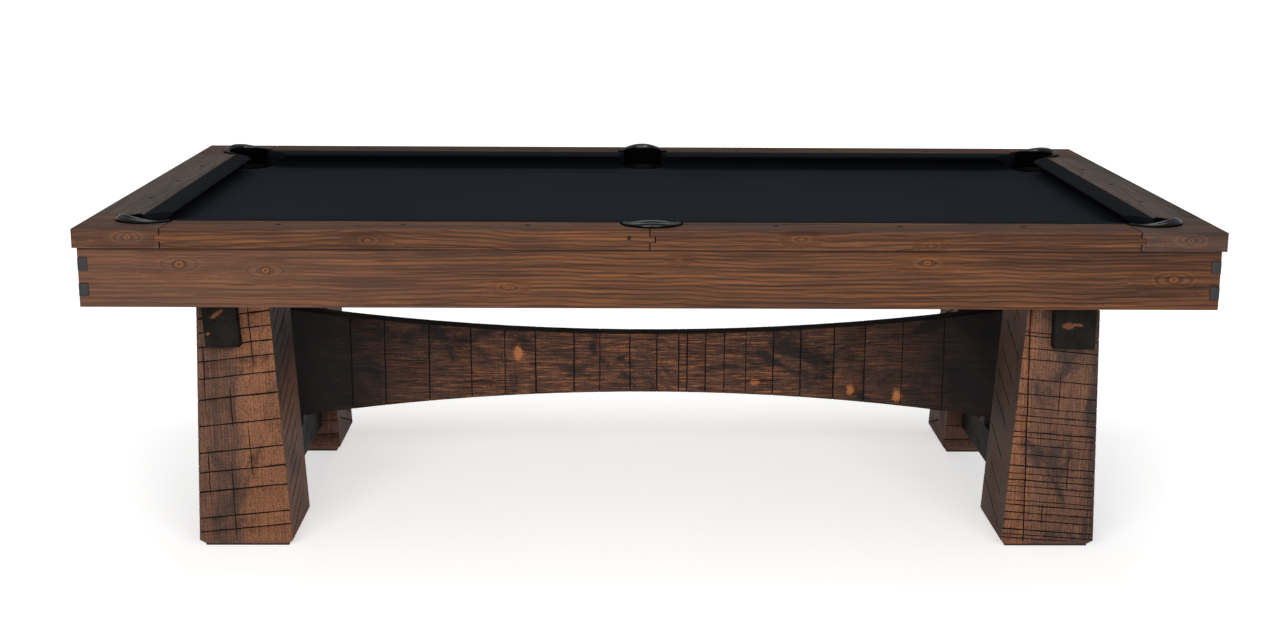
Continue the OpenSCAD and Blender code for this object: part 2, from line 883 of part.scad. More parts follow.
slate(-slate_x, -seam_x - fit);  // slate_left
slate(-seam_x + fit, seam_x - fit);  // slate_centre
slate(seam_x + fit, slate_x);  // slate_right
slate_backing();
bed_cloth();
cushion_side(-1, -1);  // cushion_front_left
cushion_side(1, -1);  // cushion_front_right
cushion_side(-1, 1);  // cushion_rear_left
cushion_side(1, 1);  // cushion_rear_right
cushion_end(-1);  // cushion_left
cushion_end(1);  // cushion_right
cushion_rubbers();
rail_front_left();
rail_front_right();
rail_rear_left();
rail_rear_right();
rail_end(-1);  // rail_left
rail_end(1);  // rail_right
corner_block(-1, -1);  // corner_block_front_left
corner_block(1, -1);  // corner_block_front_right
corner_block(-1, 1);  // corner_block_rear_left
corner_block(1, 1);  // corner_block_rear_right
pocket_iron_corner(-1, -1);  // pocket_iron_front_left
pocket_iron_side(-1);  // pocket_iron_front_side
pocket_iron_corner(1, -1);  // pocket_iron_front_right
pocket_iron_corner(-1, 1);  // pocket_iron_rear_left
pocket_iron_side(1);  // pocket_iron_rear_side
pocket_iron_corner(1, 1);  // pocket_iron_rear_right
pocket_buckets();
sights();
apron_long(-1);  // apron_front
apron_long(1);  // apron_rear
apron_end(-1);  // apron_left
apron_end(1);  // apron_right
corner_brackets();
frame_beams();
frame_joists();
top_beam(-1);  // top_beam_left
top_beam(1);  // top_beam_right
leg(-1, -1);  // leg_front_left
leg(1, -1);  // leg_front_right
leg(-1, 1);  // leg_rear_left
leg(1, 1);  // leg_rear_right
stretcher(-1);  // stretcher_left
stretcher(1);  // stretcher_right
arch_panel();
leg_pads();
leveller_stem(-1, -1);  // leveller_stem_front_left
leveller_stem(1, -1);  // leveller_stem_front_right
leveller_stem(-1, 1);  // leveller_stem_rear_left
leveller_stem(1, 1);  // leveller_stem_rear_right
leveller_disc(-1, -1);  // leveller_disc_front_left
leveller_disc(1, -1);  // leveller_disc_front_right
leveller_disc(-1, 1);  // leveller_disc_rear_left
leveller_disc(1, 1);  // leveller_disc_rear_right
leveller_inserts();
slate_screws();
rail_bolts();
frame_bolts();
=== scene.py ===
"""Looks of the pool table: bevelled and sawn timber, stretched cloth, leather pockets and a studio.

Everything is in metres, in the table's own frame: X along the table, -Y the front, Z up from the floor.
"""
import json
import math
import random

import bmesh
import bpy
from mathutils import Matrix, Vector


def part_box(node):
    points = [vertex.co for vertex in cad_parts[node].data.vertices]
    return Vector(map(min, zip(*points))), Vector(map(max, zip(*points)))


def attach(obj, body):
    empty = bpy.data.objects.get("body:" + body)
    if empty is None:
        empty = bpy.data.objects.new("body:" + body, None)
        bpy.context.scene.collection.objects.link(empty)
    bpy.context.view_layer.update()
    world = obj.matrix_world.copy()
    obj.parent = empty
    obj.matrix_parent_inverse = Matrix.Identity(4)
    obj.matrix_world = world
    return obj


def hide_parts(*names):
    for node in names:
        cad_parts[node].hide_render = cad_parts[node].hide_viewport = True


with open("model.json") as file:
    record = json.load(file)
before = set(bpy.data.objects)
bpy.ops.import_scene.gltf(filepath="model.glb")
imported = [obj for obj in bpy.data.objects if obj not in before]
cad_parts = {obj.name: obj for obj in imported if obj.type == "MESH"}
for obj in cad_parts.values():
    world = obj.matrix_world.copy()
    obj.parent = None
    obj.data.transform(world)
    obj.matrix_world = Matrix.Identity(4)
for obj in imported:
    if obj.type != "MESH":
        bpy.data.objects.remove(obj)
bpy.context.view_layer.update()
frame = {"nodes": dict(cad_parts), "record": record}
NODES = frame["nodes"]
MM = 0.001
TABLE = "table"

# ---- Levels and places, from the frame ----

HALF_L, HALF_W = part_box("corner_block_rear_right")[1].xy
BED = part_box("bed_cloth")[1].z
SLATE_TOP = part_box("slate_centre")[1].z
CLOTH_X, CLOTH_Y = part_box("bed_cloth")[1].xy
RAIL_LOW, RAIL_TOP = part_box("rail_front_left")[0].z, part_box("rail_front_left")[1].z
NOSE_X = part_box("cushion_right")[0].x
NOSE_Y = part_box("cushion_rear_left")[0].y
APRON_LOW, APRON_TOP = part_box("apron_front")[0].z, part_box("apron_front")[1].z
APRON_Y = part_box("apron_front")[0].y
PANEL_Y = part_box("arch_panel")[1].y
BUCKET_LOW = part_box("pocket_buckets")[0].z

WOOD_W = 112 * MM
RAIL_W = HALF_W - NOSE_Y
MOUTH_R = 55 * MM
HOLE_R = 61 * MM
CORNER_X, CORNER_Y = NOSE_X + 26 * MM, NOSE_Y + 26 * MM
SIDE_Y = NOSE_Y + 60 * MM

ENDS = {"left": -1, "right": 1}
SIDES = {"front": -1, "rear": 1}
CORNERS = [(f"{side}_{end}", sx, sy) for side, sy in SIDES.items() for end, sx in ENDS.items()]


# ---- Shader arithmetic ----

def srgb(red, green, blue):
    """A linear colour from the 0 to 255 values of a screen colour."""
    def linear(c):
        c /= 255
        return c / 12.92 if c <= 0.04045 else ((c + 0.055) / 1.055) ** 2.4
    return (linear(red), linear(green), linear(blue), 1.0)


def feed(tree, socket, value):
    """Links a field to an input, or sets the input to a plain value."""
    if isinstance(value, Field):
        tree.links.new(value.socket, socket)
    else:
        socket.default_value = value


class Field:
    """A number or colour that varies over a surface, worked out by shader nodes."""

    def __init__(self, tree, socket):
        self.tree = tree
        self.socket = socket

    def math(self, operation, *others):
        node = self.tree.nodes.new("ShaderNodeMath")
        node.operation = operation
        for i, value in enumerate((self, *others)):
            feed(self.tree, node.inputs[i], value)
        return Field(self.tree, node.outputs[0])

    def __add__(self, other):
        return self.math("ADD", other)

    def __sub__(self, other):
        return self.math("SUBTRACT", other)

    def __mul__(self, other):
        return self.math("MULTIPLY", other)

    def __truediv__(self, other):
        return self.math("DIVIDE", other)

    def __neg__(self):
        return self.math("MULTIPLY", -1.0)

    def __abs__(self):
        return self.math("ABSOLUTE")

    __radd__ = __add__
    __rmul__ = __mul__

    def __rsub__(self, other):
        return -self + other

    def root(self):
        return self.math("SQRT")

    def fraction(self):
        return self.math("FRACT")

    def most(self, other):
        return self.math("MAXIMUM", other)

    def smooth(self, low, high):
        """0 below low and 1 above high, with a soft step between; low may be the larger."""
        node = self.tree.nodes.new("ShaderNodeMapRange")
        node.interpolation_type = "SMOOTHSTEP"
        turned = low > high
        feed(self.tree, node.inputs["Value"], self)
        node.inputs["From Min"].default_value = min(low, high)
        node.inputs["From Max"].default_value = max(low, high)
        node.inputs["To Min"].default_value = 1.0 if turned else 0.0
        node.inputs["To Max"].default_value = 0.0 if turned else 1.0
        return Field(self.tree, node.outputs["Result"])


class Look:
    """A material under construction, with the surface's own place as x, y and z."""

    def __init__(self, name):
        self.material = bpy.data.materials.new(name)
        self.material.use_nodes = True
        self.tree = self.material.node_tree
        self.tree.nodes.clear()
        where = self.tree.nodes.new("ShaderNodeTexCoord")
        self.x, self.y, self.z = self.parts(where.outputs["Object"])
        self.normal = self.parts(where.outputs["Normal"])

    def parts(self, socket):
        split = self.tree.nodes.new("ShaderNodeSeparateXYZ")
        self.tree.links.new(socket, split.inputs[0])
        return [Field(self.tree, s) for s in split.outputs]

    def point(self, x, y, z):
        joined = self.tree.nodes.new("ShaderNodeCombineXYZ")
        for socket, value in zip(joined.inputs, (x, y, z)):
            feed(self.tree, socket, value)
        return joined.outputs[0]

    def noise(self, x, y, z, detail=3.0, rough=0.5, bend=0.0):
        """Soft noise from 0 to 1; the coordinates come already scaled."""
        node = self.tree.nodes.new("ShaderNodeTexNoise")
        node.inputs["Scale"].default_value = 1.0
        node.inputs["Detail"].default_value = detail
        node.inputs["Roughness"].default_value = rough
        node.inputs["Distortion"].default_value = bend
        self.tree.links.new(self.point(x, y, z), node.inputs["Vector"])
        return Field(self.tree, node.outputs["Fac"])

    def even(self, scale, **kind):
        """Noise at the same scale every way."""
        return self.noise(self.x * scale, self.y * scale, self.z * scale, **kind)

    def cells(self, x, y, z, feature="F1"):
        """Distance to the nearest of scattered points, or to the cells' edges."""
        node = self.tree.nodes.new("ShaderNodeTexVoronoi")
        node.feature = feature
        node.inputs["Scale"].default_value = 1.0
        self.tree.links.new(self.point(x, y, z), node.inputs["Vector"])
        return Field(self.tree, node.outputs["Distance"])

    def mix(self, share, first, second):
        node = self.tree.nodes.new("ShaderNodeMix")
        node.data_type = "RGBA"
        feed(self.tree, node.inputs[0], share)
        feed(self.tree, node.inputs[6], first)
        feed(self.tree, node.inputs[7], second)
        return Field(self.tree, node.outputs[2])

    def finish(self, colour, roughness, height=None, relief=0.0, **inputs):
        """Ends the material; relief is the bump's depth in metres, and the rest are shader inputs."""
        shader = self.tree.nodes.new("ShaderNodeBsdfPrincipled")
        out = self.tree.nodes.new("ShaderNodeOutputMaterial")
        feed(self.tree, shader.inputs["Base Color"], colour)
        feed(self.tree, shader.inputs["Roughness"], roughness)
        for label, value in inputs.items():
            feed(self.tree, shader.inputs[label.replace("_", " ")], value)
        if height is not None:
            bump = self.tree.nodes.new("ShaderNodeBump")
            bump.inputs["Strength"].default_value = 1.0
            bump.inputs["Distance"].default_value = relief
            feed(self.tree, bump.inputs["Height"], height)
            self.tree.links.new(bump.outputs[0], shader.inputs["Normal"])
        self.tree.links.new(shader.outputs[0], out.inputs[0])
        return self.material


# ---- Timber ----

PINE = {
    "early": srgb(97, 62, 41), "late": srgb(40, 25, 18), "warm": srgb(134, 80, 39),
    "smoke": srgb(42, 32, 27), "knot": srgb(18, 12, 10),
}
BLOCK_PINE = {
    "early": srgb(86, 60, 48), "late": srgb(44, 30, 25), "warm": srgb(108, 68, 42),
    "smoke": srgb(36, 30, 28), "knot": srgb(18, 13, 12),
}
# PINE darkened for the rear rails: painted shade on the same wood.
SHADED_PINE = {
    "early": srgb(76, 52, 40), "late": srgb(38, 26, 21), "warm": srgb(94, 60, 38),
    "smoke": srgb(32, 26, 24), "knot": srgb(16, 11, 10),
}
GREY_PINE = {
    "early": srgb(80, 66, 58), "late": srgb(42, 32, 28), "warm": srgb(98, 74, 58),
    "smoke": srgb(34, 30, 29), "knot": srgb(20, 16, 15),
}
SAWN = {
    "early": srgb(118, 80, 60), "late": srgb(62, 41, 32), "warm": srgb(150, 92, 52),
    "smoke": srgb(38, 31, 29), "knot": srgb(20, 15, 14),
}
BURNT = {
    "early": srgb(92, 60, 45), "late": srgb(40, 29, 26), "warm": srgb(170, 106, 62),
    "smoke": srgb(20, 17, 18), "knot": srgb(10, 9, 9),
}


def grain(look, along, seed, ring=5.2 * MM, pith=(0.03, -0.05), knots=(), across="z"):
    """Growth rings: (coordinate along the board, the two across it, late wood, knot rims, knot hearts)."""
    axes = {"x": look.x, "y": look.y, "z": look.z}
    u = axes.pop(along)
    v, w = axes.values()
    face = {"x": look.x, "y": look.y, "z": look.z}[across]
    drift = look.noise(u * 1.1 + seed, 0.0, seed * 0.7, detail=2.0) - 0.5
    sway = look.noise(u * 2.3, seed, 4.0, detail=2.0) - 0.5
    rv = v - pith[0] + drift * 0.05
    rw = w - pith[1] + sway * 0.04
    radius = (rv * rv + rw * rw).root()
    radius = radius + (look.noise(u * 5.0 + seed, v * 16.0, w * 16.0, detail=3.0) - 0.5) * 0.012
    cores = hearts = None
    ragged = look.noise(u * 60.0, v * 60.0, w * 60.0) - 0.5
    for place, level, size in knots:
        dt = (face - level + ragged * 9 * MM) / size
        du = (u - place) / size
        eye = (du * du * 0.14 + dt * dt).root()
        around = eye.smooth(3.4, 1.6)
        radius = radius * (1.0 - around) + around * (eye * (size * 0.9))
        middle = (du * du * 0.7 + dt * dt).root()
        rim = middle.smooth(0.62, 0.82) * middle.smooth(1.12, 0.92)
        core = (middle.smooth(0.36, 0.12) * 0.8).most(rim * 0.7)
        heart = middle.smooth(1.0, 0.8)
        cores = core if cores is None else cores.most(core)
        hearts = heart if hearts is None else hearts.most(heart)
    phase = (radius / ring).fraction()
    late = phase.smooth(0.45, 0.93) - phase.smooth(0.94, 1.0)
    return u, v, w, late, cores, hearts


def timber(
    name, along, seed, tones=PINE, ring=5.2 * MM, pith=(0.03, -0.05), knots=(), across="z",
    smoke=0.45, warm=0.5, contrast=0.72, gloss=0.5, shine=0.1, shade_joints=False, pale=None, shadow=None,
    plug=None,
):
    """Stained, planed softwood with growth rings, warm streaks, dark patches and knots.

    A board with shaded joints is painted black where it meets its neighbours: painted shade in the gaps;
    pale is (from, to, colour, share) along it; shadow is a level with a painted shadow line under it,
    and plug is the (x, z, radius) of a dark peg.
    """
    look = Look(name)
    u, v, w, late, cores, hearts = grain(look, along, seed, ring, pith, knots, across)
    streak = look.noise(u * 2.4 + seed, v * 105.0, w * 105.0, detail=4.0, rough=0.65)
    patch = look.noise(u * 2.6 + seed, v * 15.0, w * 15.0, detail=6.0, rough=0.66, bend=0.5)
    broad = look.noise(u * 1.1 + seed, v * 26.0, w * 26.0, detail=3.0, rough=0.6)
    vein = look.noise(u * 4.0, v * 210.0 + seed, w * 210.0, detail=3.0, rough=0.6)
    fibre = look.noise(u * 26.0, v * 750.0 + seed, w * 750.0, detail=2.0)
    colour = look.mix(late * contrast, tones["early"], tones["late"])
    colour = look.mix(streak.smooth(0.5, 0.66) * warm * (1.0 - late * 0.6), colour, tones["warm"])
    colour = look.mix(broad.smooth(0.52, 0.36) * 0.5, colour, tones["late"])
    colour = look.mix(streak.smooth(0.5, 0.36) * 0.6, colour, tones["late"])
    colour = look.mix(vein.smooth(0.52, 0.66) * 0.6, colour, tones["late"])
    if pale:
        colour = look.mix(u.smooth(pale[0], pale[1]) * pale[3], colour, pale[2])
    colour = look.mix(patch.smooth(0.48, 0.7) * smoke, colour, tones["smoke"])
    colour = look.mix(fibre.smooth(0.3, 0.75) * 0.16, colour, tones["late"])
    crack = look.noise(u * 7.0 + seed, v * 170.0, w * 170.0, detail=2.0).smooth(0.69, 0.74)
    colour = look.mix(crack * 0.6, colour, tones["knot"])
    height = late * 0.5 + fibre * 0.5 - crack
    if cores is not None:
        colour = look.mix(hearts * 0.25, colour, tones["warm"])
        colour = look.mix(cores * 0.75, colour, tones["knot"])
        height = height - cores * 0.6
    # Painted shade: faces inside the joints between boards are painted near black, for the shade in the gaps.
    if shade_joints:
        nx, ny, nz = (abs(n) for n in look.normal)
        joint_shade = (nx.smooth(0.25, 0.5) * (HALF_L - abs(look.x)).smooth(2 * MM, 4 * MM)).most(
            ny.smooth(0.25, 0.5) * (HALF_W - abs(look.y)).smooth(2 * MM, 4 * MM)
        )
        above = look.z.smooth(RAIL_LOW + 3 * MM, RAIL_LOW + 4 * MM)
        level = above * look.z.smooth(RAIL_TOP - 3 * MM, RAIL_TOP - 4 * MM)
        joint_shade = joint_shade.most(nz.smooth(0.25, 0.5) * level)
        colour = look.mix(joint_shade * 0.97, colour, tones["knot"])
    if plug:
        off_x, off_z = look.x - plug[0], look.z - plug[1]
        reach = (off_x * off_x + off_z * off_z).root()
        colour = look.mix(reach.smooth(plug[2] + 0.7 * MM, plug[2] - 0.7 * MM) * 0.9, colour, tones["knot"])
    # Painted shadow: a dark line just under the shadow level, for the shade cast by the rail above.
    if shadow:
        colour = look.mix(look.z.smooth(shadow - 9 * MM, shadow - 2 * MM) * 0.75, colour, tones["knot"])
    rough = fibre * 0.14 + gloss
    return look.finish(colour, rough, height, 0.35 * MM, Specular_IOR_Level=shine)


def sawn(
    name, along, seed, tones=SAWN, smoke=0.7, warm=0.5, streaky=0.35, bands=(), bare=(), across="x",
    black_top=False, side_smoke=0.0, top_shade=0.0, fine=(7.0, 120.0), glow=None,
):
    """Rough-sawn timber: saw lines across the grain, dark mottling, tinted bands, bare spots and painted
    shade on its side faces.

    A band is (axis, from, to, tone, share, softness) and a bare spot is (along, across, long, wide, share).
    Glow is (share, black_from, black_full): how strong the thin embers and the black between them are,
    and how far from the middle the painted shade that blackens the ends starts and is full.
    """
    look = Look(name)
    axes = {"x": look.x, "y": look.y, "z": look.z}
    u, v, w, late, _, _ = grain(look, along, seed, ring=7.0 * MM)
    cell = look.noise(u * 230.0, v * 280.0 + seed, w * 280.0, detail=6.0, rough=0.75)
    saw = look.noise(u * 420.0 + seed, v * 9.0, w * 9.0, detail=3.0, rough=0.6)
    stripe = look.noise(u * 5.0, v * 85.0 + seed, w * 85.0, detail=5.0, rough=0.65, bend=0.4)
    patch = look.noise(u * 6.0 + seed, v * 9.0, w * 9.0, detail=6.0, rough=0.68, bend=0.8)
    streak = look.noise(u * fine[0] + seed, v * fine[1], w * fine[1], detail=4.0, rough=0.7)
    colour = look.mix(late * 0.45, tones["early"], tones["late"])
    colour = look.mix(stripe.smooth(0.5, 0.7) * streaky, colour, tones["late"])
    colour = look.mix(streak.smooth(0.55, 0.75) * warm, colour, tones["warm"])
    for axis, start, end, tone, share, soft in bands:
        edge = axes[axis] + (patch - 0.5) * 0.06
        inside = edge.smooth(start, start + soft) * edge.smooth(end, end - soft)
        colour = look.mix(inside * share, colour, tones[tone])
    colour = look.mix(patch.smooth(0.5, 0.64) * smoke, colour, tones["smoke"])
    colour = look.mix(cell.smooth(0.47, 0.6) * 0.68, colour, tones["smoke"])
    colour = look.mix(saw.smooth(0.54, 0.7) * 0.4, colour, tones["smoke"])
    if glow:
        share, black_from, black_full = glow
        ember = look.noise(u * 18.0 + seed, v * 330.0, w * 330.0, detail=5.0, rough=0.75)
        # Painted shade: the ends go black away from the middle.
        end_shade = abs(u).smooth(black_from, black_full)
        colour = look.mix(
            ember.smooth(0.53, 0.66) * share * (1.0 - end_shade) * patch.smooth(0.62, 0.45), colour, tones["warm"]
        )
        colour = look.mix(ember.smooth(0.5, 0.4) * share, colour, tones["knot"])
        colour = look.mix(end_shade * 0.8, colour, tones["knot"])
    for place, level, long, wide, share in bare:
        du = (u - place) / long
        dt = (axes[across] - level) / wide
        spot = (du * du + dt * dt).root() + (patch - 0.5) * 2.4 + (cell - 0.5) * 2.0
        colour = look.mix(spot.smooth(1.0, 0.5) * share, colour, tones["warm"])
    # Painted shade: the side faces are darkened, more so towards the top, for the shade they stand in.
    if side_smoke:
        side_shade_share = look.z.smooth(0.27, 0.5) * top_shade + side_smoke
        colour = look.mix(abs(look.normal[0]).smooth(0.5, 0.8) * side_shade_share, colour, tones["smoke"])
    if black_top:
        colour = look.mix(look.normal[2].smooth(0.6, 0.85) * 0.94, colour, tones["knot"])
    height = saw * 0.6 + cell * 0.5 + stripe * 0.3
    return look.finish(colour, cell * 0.2 + 0.62, height, 0.9 * MM, Specular_IOR_Level=0.2)


def charred(name, seed, along="y", tint=srgb(24, 21, 18), bare=()):
    """Smooth blackened timber; a bare spot is (x, z, long, wide, turn) on its front end."""
    look = Look(name)
    axes = {"x": look.x, "y": look.y, "z": look.z}
    u = axes.pop(along)
    v, w = axes.values()
    cloud = look.noise(u * 14.0 + seed, v * 22.0, w * 22.0, detail=4.0, rough=0.6)
    fibre = look.noise(u * 18.0 + seed, v * 420.0, w * 420.0, detail=3.0)
    check = look.cells(u * 18.0 + seed, v * 55.0, w * 55.0, feature="DISTANCE_TO_EDGE")
    colour = look.mix(cloud.smooth(0.35, 0.75), tint, srgb(12, 11, 11))
    colour = look.mix(fibre.smooth(0.55, 0.8) * 0.3, colour, srgb(52, 42, 36))
    for px, pz, long, wide, turn in bare:
        dx, dz = look.x - px, look.z - pz
        du = (dx * math.cos(turn) + dz * math.sin(turn)) / long
        dt = (dz * math.cos(turn) - dx * math.sin(turn)) / wide
        ragged = look.noise(look.x * 160.0, look.z * 160.0, seed, detail=4.0, rough=0.7) - 0.5
        spot = (du * du + dt * dt).root() + ragged * 1.3
        colour = look.mix(spot.smooth(1.1, 0.6) * 0.6, colour, srgb(120, 74, 46))
    crack = check.smooth(0.035, 0.0)
    height = fibre * 0.4 + cloud * 0.4 - crack
    return look.finish(colour, cloud * 0.2 + 0.6, height, 0.6 * MM, Specular_IOR_Level=0.08)


def kerf_black():
    look = Look("kerf_black")
    soot = look.even(300.0, detail=3.0)
    colour = look.mix(soot, srgb(14, 12, 12), srgb(34, 28, 26))
    return look.finish(colour, 0.9, soot, 0.4 * MM, Specular_IOR_Level=0.1)


# ---- Cloth, leather, stone, metal and rubber ----

def billiard_cloth(name, tint, light, nap=0.03):
    """Worsted cloth: a tight diagonal weave, a soft nap and faint cloudiness."""
    look = Look(name)
    weave_a = ((look.x + look.y) * 900.0).math("SINE")
    weave_b = ((look.x - look.y + look.z) * 900.0).math("SINE")
    thread = weave_a * weave_b
    fuzz = look.even(700.0, detail=3.0, rough=0.7)
    cloud = look.noise(look.x * 1.7, look.y * 2.6, look.z * 3.0, detail=4.0, rough=0.55)
    chalk = look.noise(look.x * 9.0, look.y * 9.0, 3.0, detail=5.0, rough=0.65, bend=0.5)
    colour = look.mix(cloud.smooth(0.3, 0.7) * 0.55, tint, light)
    colour = look.mix(fuzz.smooth(0.45, 0.75) * 0.3, colour, light)
    colour = look.mix(chalk.smooth(0.64, 0.8) * 0.06, colour, srgb(96, 112, 124))
    height = thread * 0.35 + fuzz * 0.65
    return look.finish(
        colour, fuzz * 0.1 + 0.82, height, 0.22 * MM, Sheen_Weight=nap, Sheen_Roughness=0.45,
        Sheen_Tint=srgb(104, 120, 140), Specular_IOR_Level=0.05,
    )


def leather(name, tint, light, gloss, relief=0.35, coat=0.12, shine=0.5, shade_below=0.0):
    """Pebbled leather with creases, paler where it is rubbed, and painted black below a level as painted
    shade.
    """
    look = Look(name)
    pebble = look.cells(look.x * 620.0, look.y * 620.0, look.z * 620.0)
    crease = look.even(45.0, detail=4.0, bend=1.4)
    rubbed = look.even(18.0, detail=3.0)
    colour = look.mix(rubbed.smooth(0.4, 0.75) * 0.6, tint, light)
    colour = look.mix(pebble.smooth(0.5, 0.9) * 0.3, colour, srgb(8, 8, 9))
    height = pebble * -0.5 + crease * 0.7
    rough = rubbed * -0.16 + gloss + 0.06
    # Painted shade: black and matt below the level, for the shade inside the pocket.
    pocket_shade = look.z.smooth(shade_below + 3 * MM, shade_below - 2 * MM)
    colour = look.mix(pocket_shade, colour, srgb(5, 5, 5))
    rough = rough + pocket_shade * 0.4
    kept = 1.0 - pocket_shade
    return look.finish(
        colour, rough, height, relief * MM, Coat_Weight=kept * coat, Coat_Roughness=0.14,
        Specular_IOR_Level=kept * shine,
    )


def slate_stone():
    look = Look("honed_slate")
    layer = look.noise(look.x * 5.0, look.y * 5.0, look.z * 260.0, detail=5.0, rough=0.6)
    fleck = look.even(400.0, detail=2.0)
    colour = look.mix(layer, srgb(78, 84, 90), srgb(108, 114, 120))
    colour = look.mix(fleck.smooth(0.6, 0.75) * 0.3, colour, srgb(140, 146, 150))
    return look.finish(colour, layer * 0.2 + 0.5, layer + fleck * 0.3, 0.3 * MM)


def zinc_steel(name="zinc_steel", tint=srgb(176, 180, 184), rough=0.3):
    look = Look(name)
    brushed = look.noise(look.x * 60.0, look.y * 60.0, look.z * 900.0, detail=3.0)
    tarnish = look.even(40.0, detail=4.0)
    colour = look.mix(tarnish.smooth(0.5, 0.8) * 0.4, tint, srgb(120, 118, 110))
    return look.finish(colour, brushed * 0.15 + rough, brushed, 0.05 * MM, Metallic=1.0)


def moulded(name, tint, rough=0.6, shine=0.5):
    """Rubber, nylon or a dark inlay: an even colour with a fine moulded grain."""
    look = Look(name)
    fine = look.even(500.0, detail=3.0)
    dust = look.even(30.0, detail=4.0)
    colour = look.mix(dust.smooth(0.5, 0.8) * 0.3, tint, srgb(70, 68, 66))
    return look.finish(colour, fine * 0.15 + rough, fine, 0.12 * MM, Specular_IOR_Level=shine)


# ---- Mesh helpers ----

def new_piece(name, mesh, body, slot, replaced=(), *materials):
    piece = bpy.data.objects.new(name, mesh)
    bpy.context.scene.collection.objects.link(piece)
    for material in materials:
        mesh.materials.append(material)
    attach(piece, body)
    if replaced:
        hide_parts(*replaced)
    return piece


def made(bm, name):
    """A finished mesh, with its faces turned outwards."""
    bmesh.ops.recalc_face_normals(bm, faces=bm.faces)
    mesh = bpy.data.meshes.new(name)
    bm.to_mesh(mesh)
    bm.free()
    return mesh


def skin(bm, rows, caps=True):
    """Quads from each ring of vertices to the next, and a cap on the first and the last."""
    for a, b in zip(rows, rows[1:]):
        for i in range(len(a)):
            j = (i + 1) % len(a)
            bm.faces.new((a[i], a[j], b[j], b[i]))
    if caps:
        bm.faces.new(rows[0][::-1])
        bm.faces.new(rows[-1])


def clean_copy(node):
    """A CAD node's mesh with its split corners joined and its flat faces made whole."""
    bm = bmesh.new()
    bm.from_mesh(NODES[node].data)
    bmesh.ops.remove_doubles(bm, verts=bm.verts, dist=0.02 * MM)
    bmesh.ops.dissolve_limit(bm, angle_limit=math.radians(0.4), verts=bm.verts, edges=bm.edges)
    return made(bm, node)


def settle(piece):
    """Applies a piece's modifiers and shades it smooth up to 35 degrees."""
    bpy.context.view_layer.update()
    done = bpy.data.meshes.new_from_object(piece.evaluated_get(bpy.context.evaluated_depsgraph_get()))
    piece.modifiers.clear()
    piece.data = done
    done.shade_smooth()
    done.set_sharp_from_angle(angle=math.radians(35))


def bevel(piece, width, segments=2, angle=50):
    rounded = piece.modifiers.new("bevel", "BEVEL")
    rounded.width = width
    rounded.segments = segments
    rounded.limit_method = "ANGLE"
    rounded.angle_limit = math.radians(angle)
    rounded.use_clamp_overlap = True


def carve(piece, cutters):
    """Saws each cutter mesh out of the piece; the cuts take the cutter's own material."""
    tools = []
    for mesh in cutters:
        tool = bpy.data.objects.new("cutter", mesh)
        bpy.context.scene.collection.objects.link(tool)
        tools.append(tool)
        cut = piece.modifiers.new("saw", "BOOLEAN")
        cut.operation = "DIFFERENCE"
        cut.object = tool
        cut.solver = "EXACT"
        cut.use_self = True
        cut.material_mode = "TRANSFER"
    settle(piece)
    for tool in tools:
        bpy.data.objects.remove(tool)


def loop_mesh(name, rings, closed=False, caps=True):
    """A mesh of quads between rings of points; closed joins the last ring to the first."""
    bm = bmesh.new()
    rows = [[bm.verts.new(p) for p in ring] for ring in rings]
    if closed:
        rows.append(rows[0])
    skin(bm, rows, caps and not closed)
    return made(bm, name)


# ---- Saw kerfs ----

KERF = kerf_black()


class Kerfs:
    """Thin wedges that saw lines into flat faces, gathered into one cutter mesh."""

    def __init__(self, seed):
        self.bm = bmesh.new()
        self.random = random.Random(seed)

    def cut(self, start, end, normal, width=3.0 * MM, depth=4.0 * MM, fade=False):
        """One kerf between two points of a face; with fade it runs out at both ends."""
        run = end - start
        side = run.normalized().cross(normal).normalized()
        count = max(4, int(run.length / (18 * MM)))
        rows = []
        for i in range(count + 1):
            t = i / count
            bite = depth * self.random.uniform(0.8, 1.1)
            if fade:
                bite *= min(1.0, 5 * min(t, 1 - t) + 0.12)
            half = width / 2 * self.random.uniform(0.75, 1.2) * (0.45 + 0.55 * min(1.0, bite / depth))
            centre = start + run * t + side * self.random.uniform(-0.5, 0.5) * MM
            corners = ((-1.2, 2 * MM), (1.2, 2 * MM), (0.55, -bite), (-0.55, -bite))
            rows.append([self.bm.verts.new(centre + side * (s * half) + normal * h) for s, h in corners])
        skin(self.bm, rows)

    def mesh(self, name):
        mesh = made(self.bm, name)
        mesh.materials.append(KERF)
        return mesh


